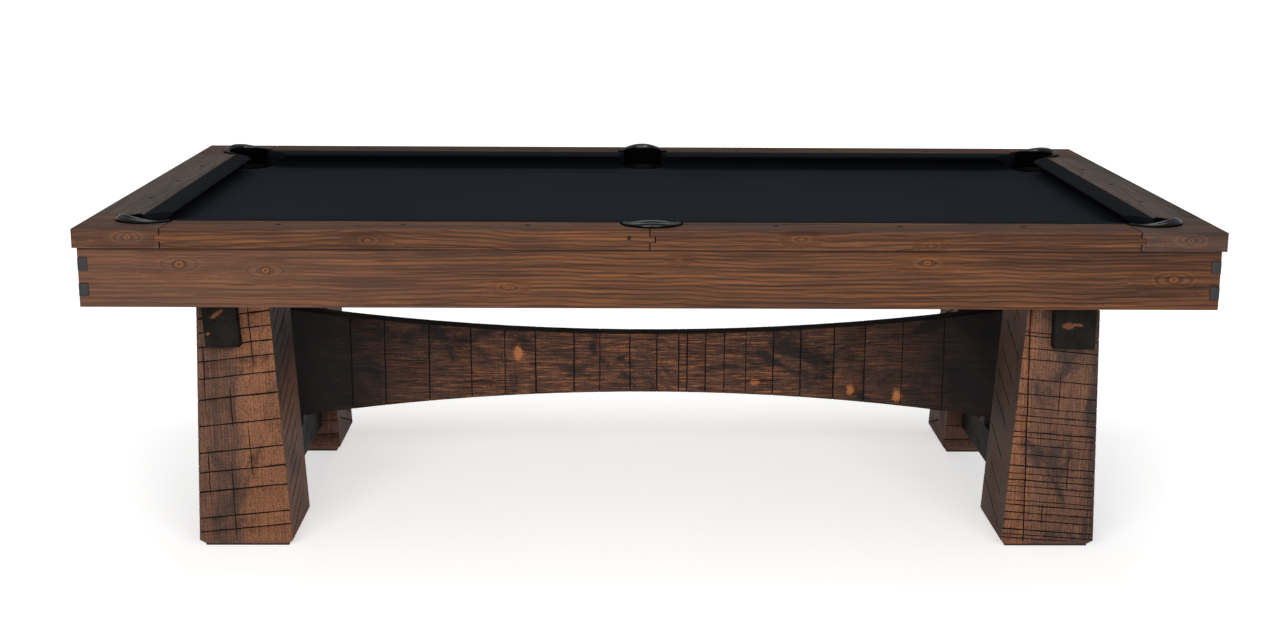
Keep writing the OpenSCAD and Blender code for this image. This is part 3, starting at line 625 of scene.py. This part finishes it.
class LegShape:
    """The four tapered faces of a leg, for placing kerfs by share across and height."""

    def __init__(self, node, sx, sy):
        points = [NODES[node].matrix_world @ v.co for v in NODES[node].data.vertices]
        self.top = max(p.z for p in points)
        foot = [abs(p.x) for p in points if 12 * MM < p.z < 22 * MM]
        head = [abs(p.x) for p in points if p.z > self.top - MM]
        self.foot_z = 17 * MM
        self.inner = (min(foot), min(head))
        self.outer = (max(foot), max(head))
        self.broad = max(abs(p.y) for p in points)
        self.near = min(abs(p.y) for p in points)
        self.sx, self.sy = sx, sy

    def at(self, edge, z):
        share = (z - self.foot_z) / (self.top - self.foot_z)
        return edge[0] + (edge[1] - edge[0]) * share

    def point(self, face, share, z):
        """A point of a face: share 0 is its left edge seen square on, and 1 its right edge."""
        inner, outer = self.at(self.inner, z), self.at(self.outer, z)
        if face in ("broad", "near"):
            y = (self.broad if face == "broad" else self.near) * self.sy
            seen_from_front = (face == "broad") == (self.sy < 0)
            x0, x1 = sorted((inner * self.sx, outer * self.sx))
            x = x0 + (x1 - x0) * (share if seen_from_front else 1 - share)
            return Vector((x, y, z))
        x = (inner if face == "inner" else outer) * self.sx
        y0, y1 = sorted((self.broad * self.sy, self.near * self.sy))
        from_right = (face == "outer") == (self.sx > 0)
        y = y0 + (y1 - y0) * (share if from_right else 1 - share)
        return Vector((x, y, z))

    def normal(self, face):
        a, b, c = self.point(face, 0, 0.1), self.point(face, 1, 0.1), self.point(face, 0, 0.5)
        n = (b - a).cross(c - a).normalized()
        return n

    def across(self, kerfs, face, z, rise, start=-0.02, end=1.02, **size):
        """A kerf across the face, from height z at its left edge, rising over the full width."""
        kerfs.cut(
            self.point(face, start, z + rise * start), self.point(face, end, z + rise * end),
            self.normal(face), **size,
        )

    def upright(self, kerfs, face, share, z0, z1, lean=0.0, **size):
        kerfs.cut(
            self.point(face, share, z0), self.point(face, share + lean, z1), self.normal(face),
            fade=True, **size,
        )


def spaced(source, low, high, least, most):
    """Heights from low to high with random gaps."""
    heights, z = [], low
    while z < high:
        heights.append(z)
        z += source.uniform(least, most)
    return heights


# ---- Stage ----

def build_stage():
    floor = bpy.data.meshes.new("floor")
    reach = 90.0
    corners = [(-reach, -reach, 0), (reach, -reach, 0), (reach, reach, 0), (-reach, reach, 0)]
    floor.from_pydata(corners, [], [(0, 1, 2, 3)])
    ground = bpy.data.objects.new("floor", floor)
    bpy.context.scene.collection.objects.link(ground)
    ground.location.z = -0.5 * MM
    look = Look("studio_floor")
    faint = look.noise(look.x * 0.7, look.y * 0.7, 0.0)
    colour = look.mix(faint, srgb(244, 244, 244), srgb(248, 248, 248))
    white = look.finish(colour, 0.9, Specular_IOR_Level=0.0, Emission_Color=(1.0, 1.0, 1.0, 1.0))
    away = (look.x * look.x * 0.4 + look.y * look.y).root()
    shader = next(n for n in look.tree.nodes if n.type == "BSDF_PRINCIPLED")
    feed(look.tree, shader.inputs["Emission Strength"], away.smooth(1.0, 5.0) * 0.45 + 0.53)
    floor.materials.append(white)

    world = bpy.data.worlds.new("studio")
    bpy.context.scene.world = world
    world.use_nodes = True
    world.node_tree.nodes["Background"].inputs[0].default_value = (1.0, 1.0, 1.0, 1.0)
    world.node_tree.nodes["Background"].inputs[1].default_value = 0.27

    def softbox(name, place, aim, size, power):
        data = bpy.data.lights.new(name, "AREA")
        data.shape = "RECTANGLE"
        data.size, data.size_y = size
        data.energy = power
        lamp = bpy.data.objects.new(name, data)
        bpy.context.scene.collection.objects.link(lamp)
        lamp.location = place
        lamp.rotation_euler = (Vector(aim) - Vector(place)).to_track_quat("-Z", "Y").to_euler()
        lamp.visible_camera = False

    softbox("front_left", (-1.7, -5.0, 2.3), (-0.2, 0, 0.45), (2.4, 1.6), 115)
    softbox("front_right", (1.7, -5.0, 2.1), (0.2, 0, 0.45), (2.2, 1.5), 84)
    softbox("overhead", (0, 0.6, 3.4), (0, 0, 0.8), (4.2, 2.2), 62)


def build_camera():
    """The photographer's view: 4.7 m in front, a little left, looking 12.6 degrees down."""
    yaw, pitch, roll = (math.radians(a) for a in (0.973, 12.570, 0.377))
    data = bpy.data.cameras.new("camera")
    data.lens = 50.98
    data.sensor_width = 36.0
    data.clip_end = 500.0
    eye = bpy.data.objects.new("camera", data)
    bpy.context.scene.collection.objects.link(eye)
    turn = Matrix.Rotation(-yaw, 4, "Z") @ Matrix.Rotation(math.pi / 2 - pitch, 4, "X")
    eye.matrix_world = Matrix.Translation((-0.0940, -4.6791, 1.5077)) @ turn @ Matrix.Rotation(roll, 4, "Z")
    bpy.context.scene.camera = eye
    bpy.context.scene.view_settings.view_transform = "Standard"


# ---- Rails, blocks, aprons and frame ----

def planed(node, material, slot, width=1.6 * MM, body=TABLE):
    """A bevelled copy of a CAD board."""
    piece = new_piece(node + "_board", clean_copy(node), body, slot, (node,), material)
    bevel(piece, width)
    settle(piece)
    return piece


def build_rails():
    pith = {"front": (-0.60, 0.72), "rear": (0.60, 0.72)}
    rail_knots = {
        "rail_front_left": [(-0.63, 0.79, 7 * MM)],
        "rail_front_right": [(0.33, 0.795, 6 * MM), (0.62, 0.782, 5 * MM)],
        "rail_rear_left": [(-0.3, 0.80, 6 * MM)],
        "rail_rear_right": [(0.5, 0.79, 6 * MM)],
    }
    for seed, (node, knots) in enumerate(rail_knots.items()):
        side = "front" if "front" in node else "rear"
        # The rear rails take the darker copy of PINE as painted shade.
        tones = PINE if side == "front" else SHADED_PINE
        peg = (-0.052, 0.797, 5 * MM) if node == "rail_front_left" else None
        material = timber(
            f"pine_{node}", "x", 3.7 * seed + 1.0, tones, pith=pith[side], knots=knots, shade_joints=True,
            plug=peg,
        )
        planed(node, material, "pine", 2.3 * MM)
    for seed, (end, sx) in enumerate(ENDS.items()):
        material = timber(
            f"pine_rail_{end}", "y", 5.1 * seed + 2.0, GREY_PINE, ring=6.0 * MM, pith=(sx * 1.16, 0.70),
            knots=[(-0.2 + 0.3 * seed, sx * 1.22, 9 * MM)], across="x", smoke=0.7, warm=0.3, shine=0.25,
            shade_joints=True,
        )
        planed(f"rail_{end}", material, "weathered_pine", 2.3 * MM)
    for seed, (corner, sx, sy) in enumerate(CORNERS):
        x = sx * 1.18
        knots = [(x + 0.02, 0.795, 9 * MM), (x - 0.06, 0.787, 4 * MM)]
        tones = PINE if corner == "front_left" else BLOCK_PINE
        material = timber(
            f"pine_block_{corner}", "x", 2.3 * seed + 8.0, tones, pith=(sy * 0.5, 0.69), knots=knots,
            smoke=0.6, shine=0.2, shade_joints=True,
        )
        planed(f"corner_block_{corner}", material, "pine", 2.3 * MM)


def build_apron():
    middle = (APRON_LOW + APRON_TOP) / 2
    knots = [
        (-1.05, middle + 30 * MM, 12 * MM), (-0.86, middle + 16 * MM, 10 * MM),
        (0.615, middle + 38 * MM, 9 * MM), (1.17, middle + 2 * MM, 12 * MM),
        (0.06, middle + 44 * MM, 4 * MM), (-0.32, middle - 20 * MM, 6 * MM),
    ]
    # The front apron's dark line under APRON_TOP is a painted shadow of the rail that overhangs it.
    front = timber(
        "pine_apron_front", "x", 11.0, pith=(-0.60, 0.56), knots=knots, ring=7.4 * MM, smoke=0.4,
        pale=(-0.1, -1.2, srgb(108, 78, 66), 0.35), shadow=APRON_TOP,
    )
    planed("apron_front", front, "pine", 1.2 * MM)
    rear = timber("pine_apron_rear", "x", 17.0, pith=(0.60, 0.56), knots=knots[1:4], ring=6.4 * MM, smoke=0.3)
    planed("apron_rear", rear, "pine", 1.2 * MM)
    for seed, (end, sx) in enumerate(ENDS.items()):
        look_name = f"pine_apron_{end}"
        board = end_board(look_name, 4.0 * seed + 6.0, sx)
        planed(f"apron_{end}", board, "weathered_pine", 1.0 * MM)


def end_board(name, seed, sx):
    """An end apron: grey-brown pine whose finger ends show scorched end grain."""
    look = Look(name)
    u, v, w, late, _, _ = grain(look, "y", seed, ring=6.0 * MM, pith=(sx * 1.1, 0.56))
    streak = look.noise(u * 1.6 + seed, v * 55.0, w * 55.0, detail=4.0, rough=0.6)
    fibre = look.noise(u * 26.0, v * 700.0, w * 700.0, detail=2.0)
    colour = look.mix(late * 0.6, PINE["early"], PINE["late"])
    colour = look.mix(streak.smooth(0.5, 0.75) * 0.5, colour, PINE["warm"])
    colour = look.mix(streak.smooth(0.5, 0.3) * 0.6, colour, PINE["smoke"])
    pores = look.even(900.0, detail=3.0)
    burnt = look.mix(pores.smooth(0.4, 0.7), srgb(22, 21, 22), srgb(46, 43, 42))
    finger = abs(look.y).smooth(-APRON_Y - 1.0 * MM, -APRON_Y)
    colour = look.mix(finger, colour, burnt)
    height = late * 0.4 + fibre * 0.5
    return look.finish(colour, fibre * 0.15 + 0.45, height, 0.3 * MM, Specular_IOR_Level=0.3)


# ---- Legs, panel, beams and stretchers ----

LEFT_KERFS = [37, 71, 137, 185, 234, 300, 365, 416, 458, 493, 528, 563, 623]
RIGHT_KERFS = [
    27, 36, 49, 73, 92, 111, 122, 143, 158, 174, 190, 209, 238, 262, 281, 294, 320, 334, 354, 387, 424,
    473, 499, 529, 538, 609,
]


def leg_kerfs(shape, corner, seed):
    """Two cutters for a leg: the kerfs across its faces, and the upright ones."""
    flat, upright = Kerfs(seed), Kerfs(seed + 50)
    source = random.Random(seed + 100)
    top = shape.top - 10 * MM
    if corner == "front_left":
        for z in LEFT_KERFS:
            shape.across(flat, "broad", z * MM, 22 * MM, width=source.uniform(3.0, 4.4) * MM)
        for share, z0, z1 in ((0.10, 330, 500), (0.42, 300, 400), (0.13, 130, 250), (0.40, 10, 215),
                              (0.62, 180, 300), (0.72, 450, 620)):
            shape.upright(upright, "broad", share, z0 * MM, z1 * MM, lean=-0.02, width=2.6 * MM)
    elif corner == "front_right":
        for z in RIGHT_KERFS:
            shape.across(flat, "broad", z * MM, -17 * MM, width=source.uniform(2.2, 3.8) * MM, depth=3 * MM)
        upright.cut(
            shape.point("broad", 0.24, 12 * MM), shape.point("broad", 0.02, 628 * MM),
            shape.normal("broad"), width=3.2 * MM,
        )
        for share, z0, z1 in ((0.52, 330, 440), (0.68, 140, 230), (0.42, 60, 110)):
            shape.upright(upright, "broad", share, z0 * MM, z1 * MM, width=2.2 * MM)
    else:
        for z in spaced(source, 30 * MM, top, 22 * MM, 55 * MM):
            shape.across(flat, "broad", z, source.uniform(8, 16) * MM, width=source.uniform(1.8, 3.2) * MM)
        for share, z0, z1 in ((0.3, 20, 190), (0.65, 240, 420), (0.5, 420, 590)):
            shape.upright(upright, "broad", share, z0 * MM, z1 * MM, width=2.6 * MM)
    for z in spaced(source, 24 * MM, top, 30 * MM, 60 * MM):
        shape.across(flat, "outer", z, source.uniform(-14, 14) * MM, width=source.uniform(1.8, 3.0) * MM)
    for z in spaced(source, 40 * MM, top, 34 * MM, 70 * MM):
        shape.across(flat, "near", z, source.uniform(6, 18) * MM, width=source.uniform(1.8, 3.0) * MM)
    steep = 85 * MM * (1 if shape.sx * shape.sy > 0 else -1)
    gap = (30, 46) if "left" in corner else (48, 95)
    for z in spaced(source, 20 * MM, top, gap[0] * MM, gap[1] * MM):
        start = source.uniform(0.0, 0.25)
        end = source.uniform(0.6, 1.0)
        if 20 * MM < z + steep * start < top and 20 * MM < z + steep * end < top:
            low_end = shape.point("inner", start, z + steep * start)
            high_end = shape.point("inner", end, z + steep * end)
            flat.cut(low_end, high_end, shape.normal("inner"), width=4.6 * MM, depth=4 * MM, fade=True)
    return [flat.mesh(f"kerfs_{corner}"), upright.mesh(f"upright_kerfs_{corner}")]


def build_legs():
    sets = {
        "front_left": dict(
            smoke=0.6, warm=0.45, side_smoke=0.35, top_shade=0.6, streaky=0.55, glow=(0.3, 2.0, 3.0),
            bands=[("x", -1.2, -0.99, "smoke", 0.3, 0.05), ("x", -0.985, -0.80, "warm", 0.35, 0.03),
                   ("x", -1.045, -0.975, "smoke", 0.4, 0.012)],
        ),
        "front_right": dict(
            smoke=0.75, warm=0.7, side_smoke=0.75, streaky=0.45, glow=(0.4, 2.0, 3.0),
            bands=[("x", 1.04, 1.20, "smoke", 0.7, 0.02), ("x", 0.80, 0.915, "warm", 0.35, 0.012),
                   ("x", 0.92, 1.20, "smoke", 0.22, 0.02)],
        ),
        # Painted shade: the rear legs take the dark burnt tones and heavy smoke, and the rear right leg a
        # black band, for the shadow they stand in.
        "rear_left": dict(tones=BURNT, smoke=0.6, warm=0.3),
        "rear_right": dict(tones=BURNT, smoke=0.9, warm=0.3, bands=[("x", 0.94, 1.20, "smoke", 0.8, 0.03)]),
    }
    for seed, (corner, sx, sy) in enumerate(CORNERS):
        node = f"leg_{corner}"
        material = sawn(f"sawn_{corner}", "z", 6.3 * seed + 3.0, **sets[corner])
        piece = new_piece(node + "_timber", clean_copy(node), TABLE, "sawn_timber", (node,), material)
        bevel(piece, 2.0 * MM)
        settle(piece)
        carve(piece, leg_kerfs(LegShape(node, sx, sy), corner, seed))


PANEL_KERFS = [
    -0.775, -0.685, -0.57, -0.46, -0.37, -0.29, -0.19, -0.12, -0.04, 0.03, 0.09, 0.11, 0.16, 0.21,
    0.265, 0.34, 0.41, 0.50, 0.58, 0.68, 0.79,
]


def build_panel():
    low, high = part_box("arch_panel")
    material = sawn(
        "burnt_panel", "x", 9.0, BURNT, smoke=0.85, warm=1.0, across="z", black_top=True,
        fine=(12.0, 230.0), glow=(0.75, 0.25, 1.02),
        # Painted shade: the two black bands over the ends, with the glow's black ends, stand for the shade of
        # the legs.
        bands=[("x", -1.5, -0.6, "knot", 0.85, 0.3), ("x", 0.6, 1.5, "knot", 0.7, 0.35)],
        bare=[(-0.335, 0.365, 14 * MM, 26 * MM, 0.9), (0.29, 0.285, 14 * MM, 10 * MM, 0.8),
              (0.545, 0.262, 12 * MM, 16 * MM, 0.8), (0.67, 0.25, 18 * MM, 22 * MM, 0.8)],
    )
    mesh = clean_copy("arch_panel")
    piece = new_piece("arch_panel_timber", mesh, TABLE, "sawn_timber", ("arch_panel",), material)
    bevel(piece, 1.5 * MM)
    settle(piece)
    kerfs = Kerfs(77)
    source = random.Random(78)
    for x in PANEL_KERFS:
        for sy in (-1, 1):
            kerfs.cut(
                Vector((x + source.uniform(-2, 2) * MM, sy * PANEL_Y, low.z)),
                Vector((x + source.uniform(-2, 2) * MM, sy * PANEL_Y, high.z)),
                Vector((0, sy, 0)), width=source.uniform(2.4, 4.0) * MM, depth=4 * MM,
            )
    cracks = Kerfs(79)
    for x, z, length in ((-0.50, 0.285, 0.16), (0.26, 0.288, 0.10), (0.56, 0.355, 0.09), (-0.66, 0.34, 0.08)):
        cracks.cut(
            Vector((x, -PANEL_Y, z)), Vector((x + length, -PANEL_Y, z + 3 * MM)), Vector((0, -1, 0)),
            width=2 * MM, depth=3 * MM, fade=True,
        )
    carve(piece, [kerfs.mesh("panel_kerfs"), cracks.mesh("panel_cracks")])


def build_beams():
    spots = {
        "left": [(-1.010, 0.582, 20 * MM, 6 * MM, 0.6), (-1.032, 0.535, 6 * MM, 4 * MM, 0.3)],
        "right": [(0.982, 0.560, 17 * MM, 9 * MM, 0.0), (1.005, 0.562, 14 * MM, 4 * MM, -0.1)],
    }
    for seed, end in enumerate(ENDS):
        material = charred(f"charred_beam_{end}", 3.0 * seed + 1.0, bare=spots[end])
        planed(f"top_beam_{end}", material, "charred_timber", 3.0 * MM)
        smooth = charred(f"charred_stretcher_{end}", 3.0 * seed + 7.0, tint=srgb(32, 30, 27))
        planed(f"stretcher_{end}", smooth, "charred_timber", 2.5 * MM)


# ---- Cloth ----

def arc(centre, radius, start, end, count):
    """Points of an arc in plan, between two angles in radians."""
    angles = [start + (end - start) * i / count for i in range(count + 1)]
    return [(centre[0] + radius * math.cos(a), centre[1] + radius * math.sin(a)) for a in angles]


def build_bed_cloth():
    """One cloth, cut round the pockets and rolled down into them."""
    depth = 16 * MM
    meet = math.asin((CLOTH_Y - CORNER_Y) / HOLE_R)
    side_meet = math.asin((CLOTH_Y - SIDE_Y) / HOLE_R)
    outline = []
    for sx, sy in ((1, 1), (-1, 1), (-1, -1), (1, -1)):
        points = arc((CORNER_X, CORNER_Y), HOLE_R, -math.pi / 2 + meet, -math.pi - meet, 28)
        corner = [(Vector((sx * x, sy * y)), Vector((sx * CORNER_X, sy * CORNER_Y))) for x, y in points]
        outline += corner if sx * sy > 0 else corner[::-1]
        if sx * sy > 0:
            mid = arc((0, SIDE_Y), HOLE_R, side_meet, -math.pi - side_meet, 32)
            outline += [(Vector((sx * x, sy * y)), Vector((0, sy * SIDE_Y))) for x, y in mid]
    bm = bmesh.new()
    top = [bm.verts.new((p.x, p.y, BED)) for p, _ in outline]
    bm.faces.new(top)
    count = len(outline)
    steps = [(0.4 * MM, -0.3 * MM), (0.9 * MM, -1.2 * MM), (1.0 * MM, -3 * MM), (1.0 * MM, -depth)]
    rows = [top]
    for inward, down in steps:
        rows.append([
            bm.verts.new((*(p + (c - p).normalized() * inward), BED + down)) for p, c in outline
        ])
    for i in range(count):
        j = (i + 1) % count
        if (outline[i][1] - outline[j][1]).length > 1 * MM:
            continue
        for a, b in zip(rows, rows[1:]):
            bm.faces.new((a[i], b[i], b[j], a[j]))
    bmesh.ops.delete(bm, geom=[v for v in bm.verts if not v.link_faces], context="VERTS")
    bmesh.ops.triangulate(bm, faces=[f for f in bm.faces if len(f.verts) > 4])
    bmesh.ops.recalc_face_normals(bm, faces=bm.faces)
    mesh = bpy.data.meshes.new("bed_cloth_sheet")
    bm.to_mesh(mesh)
    bm.free()
    cloth = billiard_cloth("bed_worsted", srgb(15, 18, 23), srgb(21, 24, 30))
    piece = new_piece("bed_cloth_sheet", mesh, TABLE, "bed_cloth", ("bed_cloth",), cloth)
    thick = piece.modifiers.new("thickness", "SOLIDIFY")
    thick.thickness = BED - SLATE_TOP
    thick.offset = -1.0
    settle(piece)


# The cushion's outer skin: (distance in from the rail's outer edge, height above the bed)
CUSHION_PROFILE = [
    (112.6, 0.3), (112.6, 42.0), (113.4, 42.9), (122, 43.0), (135, 42.7), (146, 42.2), (154, 41.4),
    (159, 40.4), (162, 39.3), (164, 38.0), (165, 36.5), (164.4, 35.0), (162, 32.8), (157, 29.2),
    (150, 24.4), (142, 18.4), (137, 13.4), (133.8, 8), (132.4, 3), (132, 0.3),
]
CORNER_TIP, CORNER_SLANT = 88 * MM, 68 * MM
SIDE_TIP, SIDE_SLANT = 68 * MM, 13 * MM


def cushion_mesh(name, start, start_slant, end, end_slant):
    """A cushion drawn for the front side, along X from start to end, with slanted facings."""
    rings = []
    count = max(2, int((end - start) / (26 * MM)))
    rounding = [0.0, 0.25 * MM, 0.6 * MM, 1.1 * MM]
    inset = [0.03, 0.011, 0.003, 0.0]
    middle = Vector((140 * MM, 24 * MM))
    for i in range(-3, count + 4):
        for_start, for_end = i < 0, i > count
        step = 3 + i if for_start else count + 3 - i if for_end else 3
        back = rounding[step] if (for_start or for_end) else rounding[3]
        shrink = inset[step] if (for_start or for_end) else 0.0
        t = min(max(i / count, 0.0), 1.0)
        ring = []
        for d, h in CUSHION_PROFILE:
            share = (d * MM - WOOD_W) / (RAIL_W + 1 * MM - WOOD_W)
            u0 = start - start_slant * (1 - share)
            u1 = end + end_slant * (1 - share)
            if for_start:
                u = u0 + back
            elif for_end:
                u = u1 - back
            else:
                u = u0 + rounding[3] + (u1 - u0 - 2 * rounding[3]) * t
            p = Vector((d * MM, h * MM))
            p = p + (middle - p) * shrink
            ring.append((u, -HALF_W + p.x, BED + p.y))
        rings.append(ring)
    return loop_mesh(name, rings)


def build_cushions():
    cloth = billiard_cloth("cushion_worsted", srgb(12, 14, 18), srgb(17, 20, 25), nap=0.0)
    for side, sy in SIDES.items():
        for end, sx in ENDS.items():
            node = f"cushion_{side}_{end}"
            mesh = cushion_mesh(node, SIDE_TIP, SIDE_SLANT, NOSE_X - CORNER_TIP, CORNER_SLANT)
            mesh.transform(Matrix.Diagonal((sx, -sy, 1, 1)))
            if sx * sy > 0:
                mesh.flip_normals()
            finish_cushion(node, mesh, cloth)
    tip = NOSE_Y - CORNER_TIP
    for end, sx in ENDS.items():
        node = f"cushion_{end}"
        mesh = cushion_mesh(node, -tip, CORNER_SLANT, tip, CORNER_SLANT)
        shift = Matrix.Translation((0, HALF_W - HALF_L, 0))
        mesh.transform(Matrix.Rotation(sx * math.pi / 2, 4, "Z") @ shift)
        finish_cushion(node, mesh, cloth)


def finish_cushion(node, mesh, cloth):
    piece = new_piece(node + "_cover", mesh, TABLE, "cushion_cloth", (node,), cloth)
    mesh.shade_smooth()
    mesh.set_sharp_from_angle(angle=math.radians(60))


# ---- Pockets ----

# Section of a pocket's leather crown: (outward from the mouth, height above the bed), in millimetres
CROWN = [
    (3.0, -1), (0.6, -1), (0.0, 6), (0.0, 20), (0.0, 38), (0.0, 50), (0.6, 54.6), (2.2, 58.0),
    (4.6, 59.7), (7.2, 59.4), (9.0, 57.6), (9.8, 55.2), (10.3, 54.6), (11.0, 55.0), (12.4, 54.2),
    (13.8, 51.8), (14.8, 48.6),
    (15.3, 45.4), (15.0, 43.3), (14.0, 43.1), (8.0, 43.1), (4.2, 43.1), (4.0, 30),
]
RAIL_H = 43
# Where the lip starts to widen, and the point that the section shrinks towards at the tips
LIP_OUT = 4.0
CORE_OUT, CORE_UP = 5.0, 30.0


def crown_taper(share, half_angle):
    """How much of the crown's lip width and of its rise is left, from the middle out to a tip."""
    turned = min(abs(share) * half_angle, math.pi / 2)
    return 1.35 * (1 - 0.25 * abs(share) ** 4), 1 - 0.8 * math.sin(turned) ** 2


def crown_mesh(name, half_angle):
    """A leather horseshoe round the Z axis, open towards +Y, that thins towards its tips."""
    rings = []
    count = 56
    stations = [(-1 + 0.012 * c, s) for c, s in zip((0, 0.5, 1.2), (0.3, 0.7, 0.92))]
    stations += [(-0.97 + 1.94 * i / count, 1.0) for i in range(count + 1)]
    stations += [(-a, s) for a, s in reversed(stations[:3])]
    for share, size in stations:
        angle = -math.pi / 2 + share * half_angle
        wide, tall = crown_taper(share, half_angle)
        ring = []
        for out, up in CROWN:
            rise = max(0.0, up - RAIL_H)
            lip = max(0.0, out - LIP_OUT)
            r = min(out, LIP_OUT) + lip * wide
            h = min(up, RAIL_H) + rise * tall
            r = CORE_OUT + (r - CORE_OUT) * size
            h = CORE_UP + (h - CORE_UP) * (0.55 + 0.45 * size)
            radius = MOUTH_R + r * MM
            ring.append((radius * math.cos(angle), radius * math.sin(angle), BED + h * MM))
        rings.append(ring)
    return loop_mesh(name, rings)


def stitches(name, radius, height, half_angle, gap=6.5 * MM):
    """Short thread stitches in a row round the crown's seam."""
    bm = bmesh.new()
    count = int(2 * half_angle * radius / gap)
    for i in range(count + 1):
        share = -1 + 2 * i / count
        angle = -math.pi / 2 + share * half_angle
        wide, tall = crown_taper(share, half_angle)
        r = MOUTH_R + (4 + (radius - MOUTH_R - 4 * MM) / MM * wide) * MM
        z = BED + (RAIL_H + (height - RAIL_H) * tall) * MM
        centre = Vector((r * math.cos(angle), r * math.sin(angle), z))
        tangent = Vector((-math.sin(angle), math.cos(angle), 0))
        outward = Vector((math.cos(angle), math.sin(angle), 0))
        rows = []
        for t, s in ((-1.0, 0.3), (-0.6, 0.9), (0.0, 1.0), (0.6, 0.9), (1.0, 0.3)):
            base = centre + tangent * (t * 2.0 * MM)
            ring = []
            for k in range(6):
                a = math.tau * k / 6
                ring.append(bm.verts.new(
                    base + (outward * math.cos(a) + Vector((0, 0, 1)) * math.sin(a)) * (0.55 * MM * s)
                ))
            rows.append(ring)
        skin(bm, rows)
    return made(bm, name)


def bucket_mesh(name):
    """A sewn leather cup: two upright seams, a sagging foot and a rolled rim."""
    count = 72
    depth = (BED - BUCKET_LOW) / MM
    outer = [(57, -3.4), (57.6, -14), (57.9, -34), (58.2, -60), (58.0, -84), (56.2, 11 - depth + 2),
             (50, 3.0 - depth + 2), (40, 1.0 - depth), (20, 0.0 - depth), (0.6, 0.0 - depth)]
    inner = [(0.6, 3.0 - depth), (20, 3.2 - depth), (38, 4.2 - depth), (47.5, 8.0 - depth),
             (52.8, 16 - depth), (54.8, -84), (55.0, -60), (54.7, -34), (54.4, -14), (54.0, -3.4),
             (54.4, -2.0), (55.5, -1.3), (56.6, -2.0)]
    profile = outer + inner
    rings = []
    for i in range(count):
        angle = math.tau * i / count
        seam = max(0.0, math.cos(2 * angle)) ** 40
        ring = []
        for r, h in profile:
            wall = min(1.0, max(0.0, (-6 - h) / 20)) * min(1.0, max(0.0, (r - 30) / 20))
            r = r - 0.9 * seam * wall
            ring.append((r * MM * math.cos(angle), r * MM * math.sin(angle), BED + h * MM))
        rings.append(ring)
    return loop_mesh(name, rings, closed=True)


def build_pockets():
    glossy = leather(
        "pocket_leather", srgb(10, 11, 14), srgb(22, 24, 28), gloss=0.24, coat=0.25, shine=0.35,
        shade_below=BED + 47 * MM,
    )
    soft = leather(
        "bucket_leather", srgb(5, 5, 5), srgb(9, 9, 9), gloss=0.7, relief=0.5, coat=0.0, shine=0.1,
    )
    thread = moulded("waxed_thread", srgb(52, 52, 50), rough=0.6)
    places = [(f"pocket_iron_{corner}", (sx * CORNER_X, sy * CORNER_Y), 107,
               math.atan2(-sy, -sx) - math.pi / 2) for corner, sx, sy in CORNERS]
    places += [(f"pocket_iron_{side}_side", (0, sy * SIDE_Y), 98, 0 if sy < 0 else math.pi)
               for side, sy in SIDES.items()]
    for node, (x, y), half, turn in places:
        set_down = Matrix.Translation((x, y, 0)) @ Matrix.Rotation(turn, 4, "Z")
        mesh = crown_mesh(node, math.radians(half))
        mesh.transform(set_down)
        new_piece(node + "_leather", mesh, TABLE, "pocket_leather", (node,), glossy)
        mesh.shade_smooth()
        mesh.set_sharp_from_angle(angle=math.radians(70))
        seam = stitches(node + "_stitching", MOUTH_R + 10.4 * MM, 55.0, math.radians(half * 0.93))
        seam.transform(set_down)
        seam.shade_smooth()
        new_piece(node + "_stitching", seam, TABLE, "pocket_leather", (), thread)
        cup = bucket_mesh(node.replace("iron", "bucket"))
        cup.transform(set_down)
        cup.shade_smooth()
        cup.set_sharp_from_angle(angle=math.radians(60))
        new_piece(node.replace("iron", "bucket"), cup, TABLE, "bucket_leather", ("pocket_buckets",), soft)


# ---- CAD nodes that keep their shape ----

def paint_rest():
    looks = {
        "slate": slate_stone(),
        "frame_timber": timber("frame_timber", "x", 21.0, {
            "early": srgb(186, 152, 112), "late": srgb(140, 104, 70), "warm": srgb(196, 152, 100),
            "smoke": srgb(120, 96, 74), "knot": srgb(86, 56, 38),
        }, smoke=0.2, warm=0.3),
        "joist_timber": timber("joist_timber", "y", 23.0, {
            "early": srgb(182, 148, 108), "late": srgb(136, 100, 66), "warm": srgb(192, 148, 96),
            "smoke": srgb(116, 92, 70), "knot": srgb(86, 56, 38),
        }, smoke=0.2, warm=0.3),
        "cushion_rubber": moulded("gum_rubber", srgb(26, 24, 22), 0.8, shine=0.1),
        "sight": moulded("dark_sight", srgb(12, 11, 11), 0.7, shine=0.05),
        "foot_rubber": moulded("pad_rubber", srgb(18, 18, 18), 0.75),
        "foot_disc": moulded("disc_nylon", srgb(34, 34, 35), 0.5),
        "steel": zinc_steel(),
        "black_steel": zinc_steel("black_oxide", srgb(62, 62, 64), 0.4),
    }
    slots = {s["node"]: s["material_slot"] for s in frame["record"]["subparts"]}
    for name, node in NODES.items():
        if node.hide_render:
            continue
        key = "joist_timber" if name == "frame_joists" else slots[name]
        node.data.materials.clear()
        node.data.materials.append(looks[key])


build_stage()
build_camera()
build_rails()
build_apron()
build_legs()
build_panel()
build_beams()
build_bed_cloth()
build_cushions()
build_pockets()
paint_rest()
